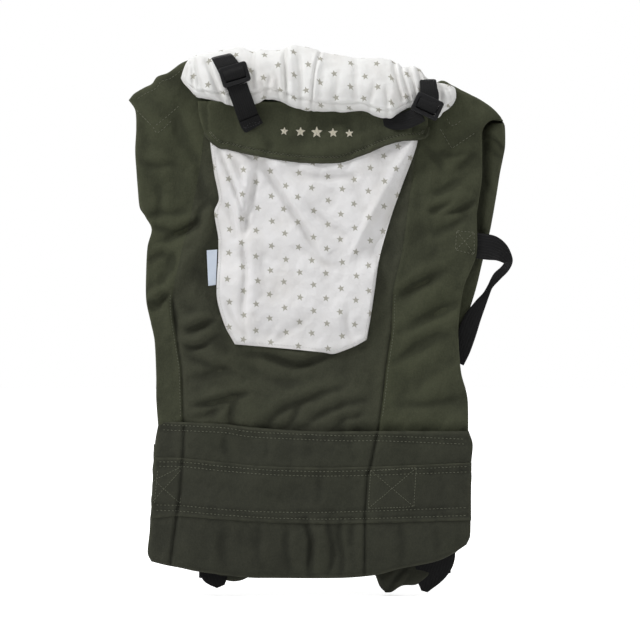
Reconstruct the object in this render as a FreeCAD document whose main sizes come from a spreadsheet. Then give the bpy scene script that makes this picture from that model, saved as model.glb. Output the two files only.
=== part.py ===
import FreeCAD, Part
import os, math

V = FreeCAD.Vector
doc = FreeCAD.newDocument("SoftCarrier")

# ---------------------------------------------------------------- driving dimensions (mm, degrees)
# Depth stack: the outer face of the carrier looks towards -Y, the wearer's side towards +Y.
# *_front is the lowest Y of a layer, *_deep its thickness.
DIMS = [
    ("cover_front", -6.0), ("cover_deep", 2.0),
    ("lining_front", -3.8), ("lining_deep", 9.8), ("lining_pocket", 7.8),
    ("panel_foam_front", -3.6), ("panel_foam_deep", 7.4),
    ("belt_cover_front", -8.0), ("belt_cover_deep", 1.9),
    ("belt_band_front", -9.7), ("belt_band_deep", 1.6),
    ("belt_lining_front", -6.0), ("belt_lining_deep", 14.0), ("belt_lining_pocket", 12.0),
    ("belt_foam_front", -5.8), ("belt_foam_deep", 11.6),
    ("pouch_front", -9.2), ("pouch_deep", 2.9), ("pouch_belly_front", -15.0),
    ("label_front", -7.2), ("label_deep", 0.8),
    ("flap_front", -12.6), ("flap_deep", 1.4), ("flap_lining_front", -11.1), ("flap_lining_deep", 1.4),
    ("yoke_front", -12.6), ("yoke_deep", 3.0), ("piping_radius", 1.2), ("piping_centre", -11.1),
    ("stub_front", -14.2), ("stub_deep", 1.4),
    ("side_web_front", -7.8), ("side_web_deep", 1.5), ("side_web_back", 6.6),
    ("strap_lining_front", 9.0), ("strap_lining_deep", 1.8),
    ("strap_cover_front", 11.0), ("strap_cover_deep", 10.0), ("strap_pocket", 8.0),
    ("strap_foam_front", 11.15), ("strap_foam_deep", 7.7),
    ("wing_lining_front", 10.5), ("wing_lining_deep", 1.8),
    ("wing_cover_front", 12.5), ("wing_cover_deep", 10.0), ("wing_pocket", 8.0),
    ("wing_foam_front", 12.65), ("wing_foam_deep", 7.7),
    ("waist_web_front", 22.7), ("waist_web_deep", 1.2), ("waist_web_width", 38.0),
    ("waist_loop_front", 25.4), ("waist_loop_deep", 1.6),
    ("hood_web_deep", 1.4), ("hood_web_width", 20.0),
    ("hood_left_plane", -47.7), ("hood_right_plane", -43.7),
    ("slider_wide", 30.0), ("slider_long", 21.0),
    ("rail_front", 21.6), ("rail_deep", 1.2), ("rail_width", 8.0),
    ("chest_web_front", 26.4), ("chest_web_deep", 1.4), ("chest_web_width", 20.0),
    ("tab_front", 14.0), ("tab_deep", 1.4), ("tab_width", 25.0),
    ("lock_wide", 33.0), ("lock_long", 26.0), ("lock_deep", 6.0),
    ("keeper_wide", 43.0), ("keeper_tall", 10.0), ("keeper_deep", 4.2),
]
sheet = doc.addObject("Spreadsheet::Sheet", "Dims")
for row, (alias, value) in enumerate(DIMS, 1):
    sheet.set("A%d" % row, alias)
    sheet.set("B%d" % row, repr(float(value)))
    sheet.setAlias("B%d" % row, alias)
doc.recompute()
D = dict(DIMS)

BODIES = []            # every object that is written as a node

# ---------------------------------------------------------------- outlines, seen from the front (x, z)
OUT = {
    "centre_panel": [
        (-113.4, 470.4), (-118.7, 428.4), (-129.2, 375.9), (-139.7, 331.8), (-147.0, 291.9),
        (-142.8, 252.0), (-137.6, 219.5), (-135.5, 164.3), (-66.2, 159.8), (-3.2, 155.9),
        (68.2, 155.9), (72.5, 186.9), (76.7, 223.7), (81.9, 260.4), (84.0, 302.4),
        (93.5, 344.4), (101.9, 407.4), (112.4, 470.4), (120.8, 512.4), (-111.3, 512.4),
    ],
    "side_left": [
        (-136.5, 541.8), (-152.2, 530.8), (-163.8, 526.6), (-169.1, 519.2), (-176.4, 515.6),
        (-188.0, 508.7), (-193.7, 501.9), (-186.9, 491.4), (-185.8, 472.5), (-186.9, 449.4),
        (-185.8, 430.5), (-182.7, 396.9), (-171.2, 373.8), (-169.1, 367.5), (-173.8, 348.6),
        (-175.3, 324.4), (-175.3, 291.9), (-170.5, 268.3), (-166.5, 248.9), (-164.8, 212.1),
        (-164.8, 188.0), (-162.2, 165.9), (-136.3, 164.4), (-138.1, 219.5), (-143.3, 252.0),
        (-147.5, 291.9), (-140.2, 331.8), (-129.7, 375.9), (-119.2, 428.4), (-113.9, 470.4),
        (-115.5, 514.5), (-117.6, 547.1),
    ],
    "side_right": [
        (112.9, 470.4), (102.4, 407.4), (94.0, 344.4), (84.5, 302.4), (82.4, 260.4),
        (77.2, 223.7), (73.0, 186.9), (68.8, 155.9), (163.2, 155.9), (162.4, 189.0),
        (155.6, 216.3), (152.7, 255.2), (153.7, 274.6), (158.6, 305.6), (164.8, 321.3),
        (172.2, 341.2), (172.2, 381.2), (174.3, 396.9), (177.5, 420.0), (177.5, 452.6),
        (176.4, 470.4), (182.7, 478.3), (200.6, 477.2), (199.5, 479.9), (192.2, 489.3),
        (180.6, 498.8), (164.8, 508.2), (147.0, 516.6), (135.5, 521.9), (121.3, 512.4),
    ],
    "panel_lining": [
        (-117.6, 547.1), (-136.5, 541.8), (-152.2, 530.8), (-163.8, 526.6), (-169.1, 519.2),
        (-176.4, 515.6), (-188.0, 508.7), (-193.7, 501.9), (-186.9, 491.4), (-185.8, 472.5),
        (-186.9, 449.4), (-185.8, 430.5), (-182.7, 396.9), (-171.2, 373.8), (-169.1, 367.5),
        (-173.8, 348.6), (-175.3, 324.4), (-175.3, 291.9), (-170.5, 268.3), (-166.5, 248.9),
        (-164.8, 212.1), (-164.8, 188.0), (-162.2, 165.3), (-66.2, 159.6), (-3.2, 155.9),
        (163.2, 155.9), (162.4, 189.0), (155.6, 216.3), (152.7, 255.2), (153.7, 274.6),
        (158.6, 305.6), (164.8, 321.3), (172.2, 341.2), (172.2, 381.2), (174.3, 396.9),
        (177.5, 420.0), (177.5, 452.6), (176.4, 470.4), (182.7, 478.3), (200.6, 477.2),
        (199.5, 479.9), (192.2, 489.3), (180.6, 498.8), (164.8, 508.2), (147.0, 516.6),
        (135.5, 521.9), (120.8, 514.5), (-111.3, 514.5),
    ],
    "belt": [
        (-162.8, 149.1), (-165.5, 144.9), (-167.6, 119.7), (-168.5, 88.5), (-170.3, 60.4),
        (-173.2, 35.1), (-173.5, 25.2), (-169.7, 17.4), (-155.4, 13.7), (-138.6, 10.5),
        (-121.8, 6.9), (-68.2, 0.5), (-43.1, 0.0), (28.4, 0.0), (66.2, 3.2), (91.8, 9.8),
        (127.1, 16.8), (143.8, 23.7), (161.3, 35.1), (165.2, 45.1), (165.6, 86.1),
        (166.2, 119.7), (167.7, 140.7), (163.5, 154.3), (-3.2, 154.3), (-66.2, 158.6),
        (-161.7, 164.8),
    ],
    "belt_band": [
        (-169.1, 70.9), (-136.6, 69.8), (-93.8, 68.8), (-37.8, 64.0), (28.4, 62.0),
        (58.8, 64.6), (165.8, 65.6), (166.4, 118.7), (28.4, 116.0), (-37.5, 117.1),
        (-93.8, 120.8), (-135.9, 125.4), (-167.0, 126.0),
    ],
    "flap_yoke": [
        (-115.7, 472.5), (119.9, 472.5), (120.0, 486.0), (-117.5, 486.0),
    ],
    "flap": [
        (-112.9, 466.2), (-107.1, 458.9), (-97.7, 451.7), (-76.7, 447.3), (-56.0, 442.8),
        (-34.6, 439.4), (-5.7, 436.2), (24.5, 436.2), (36.2, 438.7), (56.7, 446.2),
        (78.0, 455.2), (93.5, 458.9), (110.2, 460.3), (119.5, 466.2), (119.9, 471.5),
        (-115.5, 471.5),
    ],
    "pouch": [
        (-107.6, 457.8), (-103.4, 424.2), (-98.7, 397.9), (-103.4, 384.3), (-99.4, 357.4),
        (-99.4, 340.7), (-101.1, 307.2), (-100.3, 290.4), (-92.7, 265.3), (-81.9, 245.3),
        (-39.2, 241.9), (11.0, 236.9), (21.0, 235.2), (44.5, 243.6), (56.3, 250.2),
        (60.5, 274.1), (64.7, 302.4), (69.7, 336.0), (81.4, 377.5), (93.1, 410.6),
        (105.0, 442.1), (109.7, 458.9), (110.2, 489.3), (-104.0, 489.3),
    ],
    "label": [
        (-107.5, 307.3), (-102.2, 307.7), (-100.9, 344.8), (-110.5, 343.8),
    ],
    "strap_right": [
        (115.5, 465.2), (119.7, 428.4), (120.8, 391.7), (117.6, 354.9), (112.4, 318.2),
        (104.0, 281.4), (97.7, 244.7), (99.8, 226.8), (112.4, 214.2), (131.2, 214.2),
        (143.8, 226.8), (156.5, 255.2), (167.0, 286.7), (173.2, 307.7), (179.6, 334.9),
        (186.9, 364.4), (193.2, 399.0), (197.4, 425.2), (200.6, 441.0), (203.0, 454.7),
        (202.7, 475.7), (199.5, 482.0), (192.2, 489.3), (180.6, 498.8), (164.8, 508.2),
        (147.0, 516.6), (135.5, 521.9), (120.8, 510.3),
    ],
    "strap_left": [
        (-117.6, 547.1), (-136.5, 541.8), (-152.2, 530.8), (-163.8, 526.6), (-169.1, 519.2),
        (-176.4, 515.6), (-188.0, 508.7), (-193.9, 502.4), (-187.1, 491.4), (-186.1, 472.5),
        (-187.1, 449.4), (-186.3, 430.5), (-183.8, 401.1), (-183.5, 390.6), (-176.4, 379.1),
        (-169.1, 366.4), (-163.8, 344.4), (-157.5, 312.9), (-151.2, 286.7), (-141.8, 255.2),
        (-129.2, 226.8), (-116.6, 214.2), (-97.7, 214.2), (-85.0, 226.8), (-83.0, 244.7),
        (-89.2, 281.4), (-96.6, 318.2), (-101.9, 354.9), (-105.0, 391.7), (-106.1, 428.4),
        (-106.1, 465.2), (-109.2, 510.3),
    ],
    "wing_right": [
        (122.9, 137.6), (70.4, 129.2), (33.6, 117.6), (19.9, 105.0), (14.7, 84.0),
        (19.9, 60.9), (33.6, 39.9), (51.5, 18.9), (64.0, 4.2), (70.4, -10.5), (76.7, -17.3),
        (83.0, -16.8), (94.5, -10.0), (110.2, -8.4), (129.2, 6.3), (143.8, 18.9),
        (160.7, 34.6), (165.2, 45.1), (165.4, 81.9), (165.4, 141.8),
    ],
    "wing_left": [
        (-168.5, 139.7), (-169.1, 88.2), (-172.7, 34.6), (-169.1, 18.9), (-152.2, 12.6),
        (-118.7, 4.2), (-88.2, -5.2), (-76.7, -4.7), (-66.2, 0.0), (-53.6, 10.5),
        (-38.9, 29.4), (-28.4, 50.4), (-22.1, 73.5), (-24.2, 94.5), (-34.6, 111.3),
        (-53.6, 121.8), (-92.4, 131.2), (-134.4, 137.6),
    ],
}
# flat pads inside the covers
OUT["panel_pad"] = [
    (-122.9, 470.4), (-139.7, 428.4), (-148.1, 375.9), (-154.3, 312.9), (-152.2, 260.4), (-150.2, 207.9),
    (-144.0, 176.0), (-3.2, 171.0), (141.8, 171.0), (137.6, 207.9), (133.3, 270.9), (139.7, 333.9),
    (141.8, 396.9), (133.3, 438.9), (117.6, 470.4), (107.1, 501.0), (-102.9, 501.0)]


def offset(points, d):
    """Move every edge of a counter-clockwise polygon inwards by d (outwards if negative)."""
    n = len(points)
    out = []
    for i in range(n):
        ax, az = points[i - 1]
        bx, bz = points[i]
        cx, cz = points[(i + 1) % n]
        u = V(bx - ax, bz - az, 0).normalize()
        v = V(cx - bx, cz - bz, 0).normalize()
        nu, nv = V(-u.y, u.x, 0), V(-v.y, v.x, 0)
        k = nu + nv
        f = max(k.dot(nu), 0.35)
        out.append((bx + k.x * d / f, bz + k.y * d / f))
    return out


def strip(x, z, direction, width, before, after):
    """Corners of a straight strip of webbing centred on (x, z), running from -before to +after along direction."""
    dx, dz = direction
    k = math.hypot(dx, dz)
    dx, dz = dx / k, dz / k
    px, pz = dz * width / 2, -dx * width / 2
    a, b = (x - dx * before, z - dz * before), (x + dx * after, z + dz * after)
    return ccw([(a[0] - px, a[1] - pz), (a[0] + px, a[1] + pz), (b[0] + px, b[1] + pz), (b[0] - px, b[1] - pz)])


def ccw(points):
    area = sum(points[i][0] * points[(i + 1) % len(points)][1] - points[(i + 1) % len(points)][0] * points[i][1]
               for i in range(len(points)))
    return points if area > 0 else points[::-1]


def rect(x0, x1, z0, z1):
    return [(x0, z0), (x1, z0), (x1, z1), (x0, z1)]


# ---------------------------------------------------------------- PartDesign helpers
def body(label):
    b = doc.addObject("PartDesign::Body", label)
    b.Label = label
    BODIES.append(b)
    return b


def plane(b, role):
    return [f for f in b.Origin.OriginFeatures if f.Role == role][0]


def sketch(b, role, points, level=None):
    """A closed polygon on one of the body's own origin planes, lifted by `level` along the plane's normal."""
    s = b.newObject("Sketcher::SketchObject", b.Name + "_sketch")
    s.AttachmentSupport = (plane(b, role), [""])
    s.MapMode = "FlatFace"
    if level is not None:
        s.setExpression("AttachmentOffset.Base.z", str(level))
    import Sketcher
    n = len(points)
    s.addGeometry([Part.LineSegment(V(points[i][0], points[i][1], 0), V(points[(i + 1) % n][0], points[(i + 1) % n][1], 0))
                   for i in range(n)], False)
    s.addConstraint([Sketcher.Constraint("Coincident", i, 2, (i + 1) % n, 1) for i in range(n)])
    s.Visibility = False
    return s


def length_of(feature, expression):
    feature.setExpression("Length", str(expression))


def pad(b, points, long, low=0, role="XZ_Plane"):
    """Pad a polygon from coordinate `low` over `long` along the positive axis normal to the plane."""
    level = "-(%s)" % low if role == "XZ_Plane" else str(low)
    s = sketch(b, role, points, level)
    p = b.newObject("PartDesign::Pad", b.Name + "_pad")
    p.Profile = s
    length_of(p, long)
    p.Reversed = role == "XZ_Plane"
    return p


def pocket(b, points, long, low, role="XZ_Plane"):
    """Cut a polygon from coordinate `low` over `long` along the positive axis normal to the plane."""
    if role == "XZ_Plane":
        level = "-(%s)" % low
    else:
        level = "(%s) + (%s)" % (low, long)
    s = sketch(b, role, points, level)
    p = b.newObject("PartDesign::Pocket", b.Name + "_pocket")
    p.Profile = s
    length_of(p, long)
    return p


def fillet(b, choose, radius):
    """Round the edges of the body's tip that `choose(edge)` picks."""
    doc.recompute()
    tip = b.Tip
    names = ["Edge%d" % (i + 1) for i, e in enumerate(tip.Shape.Edges) if choose(e)]
    if not names:
        raise RuntimeError("no edges to round on " + b.Label)
    f = b.newObject("PartDesign::Fillet", b.Name + "_fillet")
    f.Base = (tip, names)
    f.Radius = radius
    doc.recompute()
    if not f.isValid() or f.Shape.isNull() or not f.Shape.isValid():
        raise RuntimeError("round failed on " + b.Label)
    return f


def along(axis):
    """Edges that run straight along an axis."""
    def choose(e):
        if not isinstance(e.Curve, Part.Line):
            return False
        d = e.Curve.Direction
        return abs(abs(d.dot(axis)) - 1) < 1e-6
    return choose


X, Y, Z = V(1, 0, 0), V(0, 1, 0), V(0, 0, 1)


def layer(label, points, front, deep):
    """One flat layer of fabric, foam or webbing; its Placement sets where it sits in the depth stack."""
    b = body(label)
    pad(b, points, "Dims." + deep)
    b.setExpression("Placement.Base.y", "Dims." + front)
    return b


def tray(label, points, inner, front, deep, cut):
    """A cover shell: a solid outline with a pocket for the foam, open towards -Y."""
    b = layer(label, points, front, deep)
    pocket(b, inner, "Dims." + cut, 0)
    return b


# ---------------------------------------------------------------- body panel
layer("centre_panel", OUT["centre_panel"], "cover_front", "cover_deep")
layer("side_panel_left", OUT["side_left"], "cover_front", "cover_deep")
layer("side_panel_right", OUT["side_right"], "cover_front", "cover_deep")
layer("panel_foam", OUT["panel_pad"], "panel_foam_front", "panel_foam_deep")
tray("panel_lining", OUT["panel_lining"], offset(OUT["panel_pad"], -0.6), "lining_front", "lining_deep", "lining_pocket")

# ---------------------------------------------------------------- waist belt centre
layer("belt_cover", OUT["belt"], "belt_cover_front", "belt_cover_deep")
layer("belt_band", OUT["belt_band"], "belt_band_front", "belt_band_deep")
belt_pad = offset(OUT["belt"], 9.0)
layer("belt_foam", belt_pad, "belt_foam_front", "belt_foam_deep")
tray("belt_lining", OUT["belt"], offset(belt_pad, -0.6), "belt_lining_front", "belt_lining_deep", "belt_lining_pocket")

# ---------------------------------------------------------------- star pouch: thin under the flap, full below it
pouch = layer("star_pouch", OUT["pouch"], "pouch_front", "pouch_deep")
belly = [(x, z) for x, z in offset(OUT["pouch"], 3.0) if z < 424]
belly_top = 430.5
left, right = (-100.5, belly_top), (97.5, belly_top)
belly = ccw(belly)
start = max(range(len(belly)), key=lambda i: belly[i][1] - (1000 if belly[i][0] > 0 else 0))
belly = belly[start:] + belly[:start]
belly = belly + [right, left]
pad(pouch, ccw(belly), "Dims.pouch_front - Dims.pouch_belly_front", "Dims.pouch_belly_front - Dims.pouch_front")
layer("side_label", OUT["label"], "label_front", "label_deep")

# ---------------------------------------------------------------- flap over the pouch
layer("flap_yoke", OUT["flap_yoke"], "yoke_front", "yoke_deep")
layer("flap_outer", OUT["flap"], "flap_front", "flap_deep")
layer("flap_lining", OUT["flap"], "flap_lining_front", "flap_lining_deep")
# piping: a round cord along the flap's curved lower edge
r = D["piping_radius"]
lower = [p for p in offset(OUT["flap"], -(r + 0.8)) if p[1] < 469]
lower = sorted(lower)
spine = Part.BSplineCurve()
spine.interpolate([V(x, D["piping_centre"], z) for x, z in lower])
wire = Part.Wire([spine.toShape()])
tangent = spine.tangent(spine.FirstParameter)[0]
ring = Part.Wire([Part.Circle(V(lower[0][0], D["piping_centre"], lower[0][1]), tangent, r).toShape()])
cord = doc.addObject("Part::Feature", "flap_piping")
cord.Shape = wire.makePipeShell([ring], True, True)
cord.Label = "flap_piping"
BODIES.append(cord)

# ---------------------------------------------------------------- rolled hood: a soft tube lofted over the neckline
# (x, centre y, centre z, half depth, half height)
ROLL = [(-137, -18, 527, 8, 10), (-127, -20.5, 526, 12.5, 17), (-108, -23, 523, 15.5, 22), (-75, -25.5, 523, 18, 27),
        (-25, -26, 523, 18.5, 32), (30, -26, 518, 18.5, 31), (75, -26, 513, 18.5, 29), (104, -23.5, 511, 15, 22),
        (122, -21.5, 503, 12, 15), (140, -19.5, 500, 10, 13), (149, -16, 502, 5, 6)]
roll = body("hood_roll")
rings = []
for x, cy, cz, ry, rz in ROLL:
    s = roll.newObject("Sketcher::SketchObject", "roll_ring")
    s.AttachmentSupport = (plane(roll, "YZ_Plane"), [""])
    s.MapMode = "FlatFace"
    s.setExpression("AttachmentOffset.Base.z", str(x))
    s.addGeometry(Part.Ellipse(V(cy, cz + rz, 0), V(cy + ry, cz, 0), V(cy, cz, 0)), False)
    s.Visibility = False
    rings.append(s)
loft = roll.newObject("PartDesign::AdditiveLoft", "roll_loft")
loft.Profile = rings[0]
loft.Sections = rings[1:]
loft.Ruled = False

# ---------------------------------------------------------------- hood straps, their sewn stubs and their sliders
LEFT_C, LEFT_D = (-81.0, 525.0), (0.292, -0.956)
RIGHT_C, RIGHT_D = (118.6, 492.5), (-0.423, -0.906)


def hood_strap(label, centre, direction, before, after, plane_y, back_to):
    """Flat webbing down the front of the roll, with its top end folded back over the roll."""
    b = body(label)
    front = "Dims.%s - Dims.hood_web_deep / 2" % plane_y
    pad(b, strip(centre[0], centre[1], direction, D["hood_web_width"], before, after), "Dims.hood_web_deep", front)
    dx, dz = direction
    top = (centre[0] - dx * before, centre[1] - dz * before)
    band = strip(top[0], top[1], direction, D["hood_web_width"], 0, D["hood_web_deep"])
    pad(b, band, "%s - (%s)" % (back_to, front), front)
    return b


hood_strap("hood_strap_left", LEFT_C, LEFT_D, 28, 50, "hood_left_plane", -12)
hood_strap("hood_strap_right", RIGHT_C, RIGHT_D, 31, 15, "hood_right_plane", -13)
layer("hood_stub_left", ccw([(-84.0, 486.0), (-64.0, 486.0), (-62.0, 473.6), (-80.0, 473.6)]), "stub_front", "stub_deep")
layer("hood_stub_right", ccw([(70.0, 473.6), (100.0, 473.6), (108.0, 485.5), (84.0, 485.5)]), "stub_front", "stub_deep")


def hood_slider(label, centre, direction, plane_y):
    """Ladder slider: two side rails, two front bars over the webbing and one bar behind it."""
    b = body(label)
    w, l = "Dims.slider_wide", "Dims.slider_long"
    hw, hl = D["slider_wide"] / 2, D["slider_long"] / 2
    pad(b, rect(-hw, hw, -hl, hl), 6.2, -3.7)
    fillet(b, along(Y), 3.0)
    inner = hw - 4.4
    pocket(b, rect(-inner, inner, -0.95, 0.95), 2 * hl + 2, -hl - 1, "XY_Plane")
    pocket(b, rect(-inner, inner, -hl + 4.2, hl - 4.2), 2.8, -3.75)
    pocket(b, rect(-inner, inner, 2.6, hl + 1), 1.7, 0.9)
    pocket(b, rect(-inner, inner, -hl - 1, -2.6), 1.7, 0.9)
    fillet(b, lambda e: abs(e.BoundBox.YMin + 3.7) < 1e-4 and abs(e.BoundBox.YMax + 3.7) < 1e-4, 1.1)
    dx, dz = direction
    turn = math.degrees(math.atan2(dx, -dz))
    b.Placement = FreeCAD.Placement(V(centre[0], 0, centre[1]), FreeCAD.Rotation(Y, -turn))
    b.setExpression("Placement.Base.y", "Dims." + plane_y)
    return b


hood_slider("hood_slider_left", LEFT_C, LEFT_D, "hood_left_plane")
hood_slider("hood_slider_right", RIGHT_C, RIGHT_D, "hood_right_plane")

# ---------------------------------------------------------------- side webbings
sw = layer("side_webbing_right", ccw([(148.1, 337.6), (172.2, 335.2), (197.4, 333.4), (212.5, 333.0), (207.1, 346.5),
                                      (197.4, 357.2), (172.2, 361.7), (148.1, 364.4)]), "side_web_front", "side_web_deep")
back = "Dims.side_web_back - Dims.side_web_front"
pad(sw, ccw([(212.5, 334.0), (197.4, 334.0), (189.6, 317.3), (185.7, 305.7), (168.2, 284.3), (156.5, 270.9),
             (142.0, 235.0), (130.0, 200.0), (121.0, 178.0), (145.0, 170.0), (153.0, 195.0), (160.0, 222.0),
             (166.3, 249.4), (176.0, 278.6), (181.9, 296.1), (193.5, 313.4), (210.0, 325.5)]), "Dims.side_web_deep", back)
pad(sw, rect(199.0, 211.5, 329.5, 334.5), back, "0.2")
layer("side_webbing_left", strip(-136.0, 265.0, (48, -170), 25.0, 88, 88), "side_web_back", "side_web_deep")

# ---------------------------------------------------------------- shoulder straps, folded behind the panel
CHEST = {"left": ((-136.0, 396.0), (0.19, -0.98)), "right": ((143.0, 396.0), (-0.165, -0.986))}
for side in ("left", "right"):
    outline = OUT["strap_" + side]
    inner = offset(outline, 8.0)
    tray("strap_cover_" + side, outline, offset(inner, -0.6), "strap_cover_front", "strap_cover_deep", "strap_pocket")
    layer("strap_foam_" + side, inner, "strap_foam_front", "strap_foam_deep")
    layer("strap_lining_" + side, outline, "strap_lining_front", "strap_lining_deep")
    cx = -107.0 if side == "left" else 122.0
    layer("strap_tab_" + side, rect(cx - 12.5, cx + 12.5, 196.3, 213.6), "tab_front", "tab_deep")
    c, d = CHEST[side]
    layer("chest_rail_" + side, strip(c[0], c[1], d, D["rail_width"], 56, 56), "rail_front", "rail_deep")

    # strap ladder lock: frame with a tab bar, a wide middle bar and a grip lip
    b = body("strap_lock_" + side)
    hw = D["lock_wide"] / 2
    pad(b, rect(-hw, hw, -24.5, 1.8), 6.0, -3.0)
    fillet(b, along(Y), 3.5)
    inner_w = 12.9
    pocket(b, rect(-inner_w, inner_w, -6.2, -1.6), 7.0, -3.5)
    pocket(b, rect(-inner_w, inner_w, -13.2, -9.4), 7.0, -3.5)
    pocket(b, rect(-inner_w, inner_w, -20.6, -16.8), 7.0, -3.5)
    fillet(b, lambda e: abs(abs(e.BoundBox.YMin) - 3.0) < 1e-4 and abs(e.BoundBox.YMin - e.BoundBox.YMax) < 1e-4
           and (e.BoundBox.ZMin < -23 or e.BoundBox.ZMax > 1.0 or max(abs(e.BoundBox.XMin), abs(e.BoundBox.XMax)) > hw - 0.2), 1.2)
    b.Placement = FreeCAD.Placement(V(cx, 14.7, 192.3), FreeCAD.Rotation())

    # chest slide: a block with a channel for the rail and a bridge for the chest webbing
    b = body("chest_slide_" + side)
    pad(b, rect(-9, 9, -13, 13), 4.9, 0)
    fillet(b, along(Y), 3.0)
    pocket(b, rect(-4.4, 4.4, 0.2, 1.9), 28, -14, "XY_Plane")
    fillet(b, lambda e: abs(e.BoundBox.YMin - 4.9) < 1e-4, 1.2)
    b.Placement = FreeCAD.Placement(V(c[0], 21.2, c[1]), FreeCAD.Rotation(Y, -math.degrees(math.atan2(d[0], -d[1]))))

    x0, x1 = (c[0] - 8, c[0] + 62) if side == "left" else (c[0] - 62, c[0] + 8)
    layer("chest_webbing_" + side, rect(x0, x1, c[1] - 10, c[1] + 10), "chest_web_front", "chest_web_deep")


# ---------------------------------------------------------------- side release buckles
def buckle_socket(label, w, l, t, web, place):
    """Female half. z = 0 is the webbing bar end, the mouth looks towards +z, x is the width, y the thickness."""
    b = body(label)
    hw, ht = w / 2, t / 2
    pad(b, [(-hw + 2, 0), (hw - 2, 0), (hw, l * 0.3), (hw - 0.6, l * 0.62), (hw, l), (-hw, l), (-hw + 0.6, l * 0.62), (-hw, l * 0.3)],
        t, -ht)
    fillet(b, along(Y), min(3.0, w * 0.06))
    fillet(b, lambda e: abs(abs(e.BoundBox.YMin) - ht) < 1e-4 and abs(e.BoundBox.YMin - e.BoundBox.YMax) < 1e-4, t * 0.16)
    wall = t * 0.17
    pocket(b, rect(-hw + 3.0, hw - 3.0, -ht + wall, ht - wall), l * 0.62, l * 0.38 + 0.01, "XY_Plane")
    # side windows for the latch heads
    pocket(b, rect(-ht + wall + 0.02, ht - wall - 0.02, l * 0.42, l * 0.72), w + 4, -hw - 2, "YZ_Plane")
    # webbing slots
    pocket(b, rect(-web / 2 - 0.6, web / 2 + 0.6, l * 0.09, l * 0.17), t + 2, -ht - 1)
    pocket(b, rect(-web / 2 - 0.6, web / 2 + 0.6, l * 0.235, l * 0.315), t + 2, -ht - 1)
    b.Placement = place
    return b


def buckle_plug(label, w, l, t, web, place, channel=None):
    """Male half. z = 0 is the webbing bar end, the latch arms point towards +z."""
    b = body(label)
    hw, ht = w / 2, t / 2
    base = l * 0.44
    pad(b, rect(-hw + 1, hw - 1, 0, base), t, -ht)
    fillet(b, along(Y), min(3.0, w * 0.06))
    if channel:
        # the adjuster's lower deck carries the webbing behind the ladder
        low, high = channel
        pad(b, rect(-hw + 1, hw - 1, 0, base), -ht - low + 1.0, low - 1.0)
        pocket(b, rect(-web / 2 - 0.7, web / 2 + 0.7, low, high), base + 2, -1, "XY_Plane")
        top = high
    else:
        top = -ht
    slot = t + 2
    pocket(b, rect(-web / 2 - 0.6, web / 2 + 0.6, base * 0.16, base * 0.36), slot, (-ht - 1) if not channel else high - 0.01)
    pocket(b, rect(-web / 2 - 0.6, web / 2 + 0.6, base * 0.56, base * 0.76), slot, (-ht - 1) if not channel else high - 0.01)
    # centre guide
    g = w * 0.09
    pad(b, [(-g, base - 0.5), (g, base - 0.5), (g * 0.7, l * 0.93), (-g * 0.7, l * 0.93)], t * 0.44, -t * 0.22)
    b.Placement = place
    return b


def latch_arm(label, w, l, t, sign, place):
    """One springy latch arm of the male half, with its press pad and hook head; its root is round about the pivot."""
    b = body(label)
    hw, base = w / 2, l * 0.44
    root = (hw - 7.2 * w / 46.0)
    k = w / 46.0
    z0 = base + 0.35
    pts = [(root - 2.4 * k, z0), (root + 2.4 * k, z0), (root + 3.6 * k, base + l * 0.10), (hw - 1.6 * k, base + l * 0.2),
           (hw + 0.6 * k, base + l * 0.29), (hw + 0.2 * k, base + l * 0.36), (hw - 3.2 * k, base + l * 0.46), (hw - 5.4 * k, base + l * 0.54),
           (hw - 8.4 * k, base + l * 0.54), (hw - 7.4 * k, base + l * 0.40), (hw - 5.6 * k, base + l * 0.27), (root - 1.2 * k, base + l * 0.12)]
    pts = ccw([(sign * x, z) for x, z in pts])
    pad(b, pts, t * 0.56, -t * 0.28)
    fillet(b, lambda e: along(Y)(e) and e.BoundBox.ZMin > z0 + 1.5, 1.1 * k)
    b.Placement = place
    return b


NONE = FreeCAD.Rotation()
# chest buckle: the socket looks towards +X, the plug towards -X
cl, cr = CHEST["left"][0], CHEST["right"][0]
to_right = FreeCAD.Rotation(Y, 90)
to_left = FreeCAD.Rotation(Y, -90)
buckle_socket("chest_buckle_socket", 30, 27, 9, 20, FreeCAD.Placement(V(cl[0] + 62.5, 29.0, cl[1]), to_right))
plug_at = FreeCAD.Placement(V(cr[0] - 62.5, 29.0, cr[1]), to_left)
buckle_plug("chest_buckle_plug", 28, 30, 8, 20, plug_at)
latch_arm("chest_latch_upper", 28, 30, 8, 1, plug_at)
latch_arm("chest_latch_lower", 28, 30, 8, -1, plug_at)

# ---------------------------------------------------------------- belt wings, folded behind the belt
for side in ("left", "right"):
    outline = OUT["wing_" + side]
    inner = offset(outline, 8.0)
    tray("wing_cover_" + side, outline, offset(inner, -0.6), "wing_cover_front", "wing_cover_deep", "wing_pocket")
    layer("wing_foam_" + side, inner, "wing_foam_front", "wing_foam_deep")
    layer("wing_lining_" + side, outline, "wing_lining_front", "wing_lining_deep")

# left: webbing runs down behind the wing, folds at the tip and holds the socket
LOOP = "Dims.waist_loop_front - Dims.waist_web_front"
w = layer("waist_webbing_left", ccw([(-24.3, 74.3), (-55.7, 95.7), (-119.0, 6.3), (-101.0, -10.5), (-95.0, -11.3),
                                     (-88.0, -5.0)]), "waist_web_front", "waist_web_deep")
pad(w, rect(-121.0, -83.0, -3.0, 57.4), "Dims.waist_loop_deep", LOOP)
pad(w, rect(-112.0, -92.0, -3.0, 1.0), LOOP + " + 0.4", "0.4")
socket_at = FreeCAD.Placement(V(-102.0, 30.2, 58.3), NONE)
buckle_socket("waist_buckle_socket", 50, 42, 12, 38, socket_at)

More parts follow.
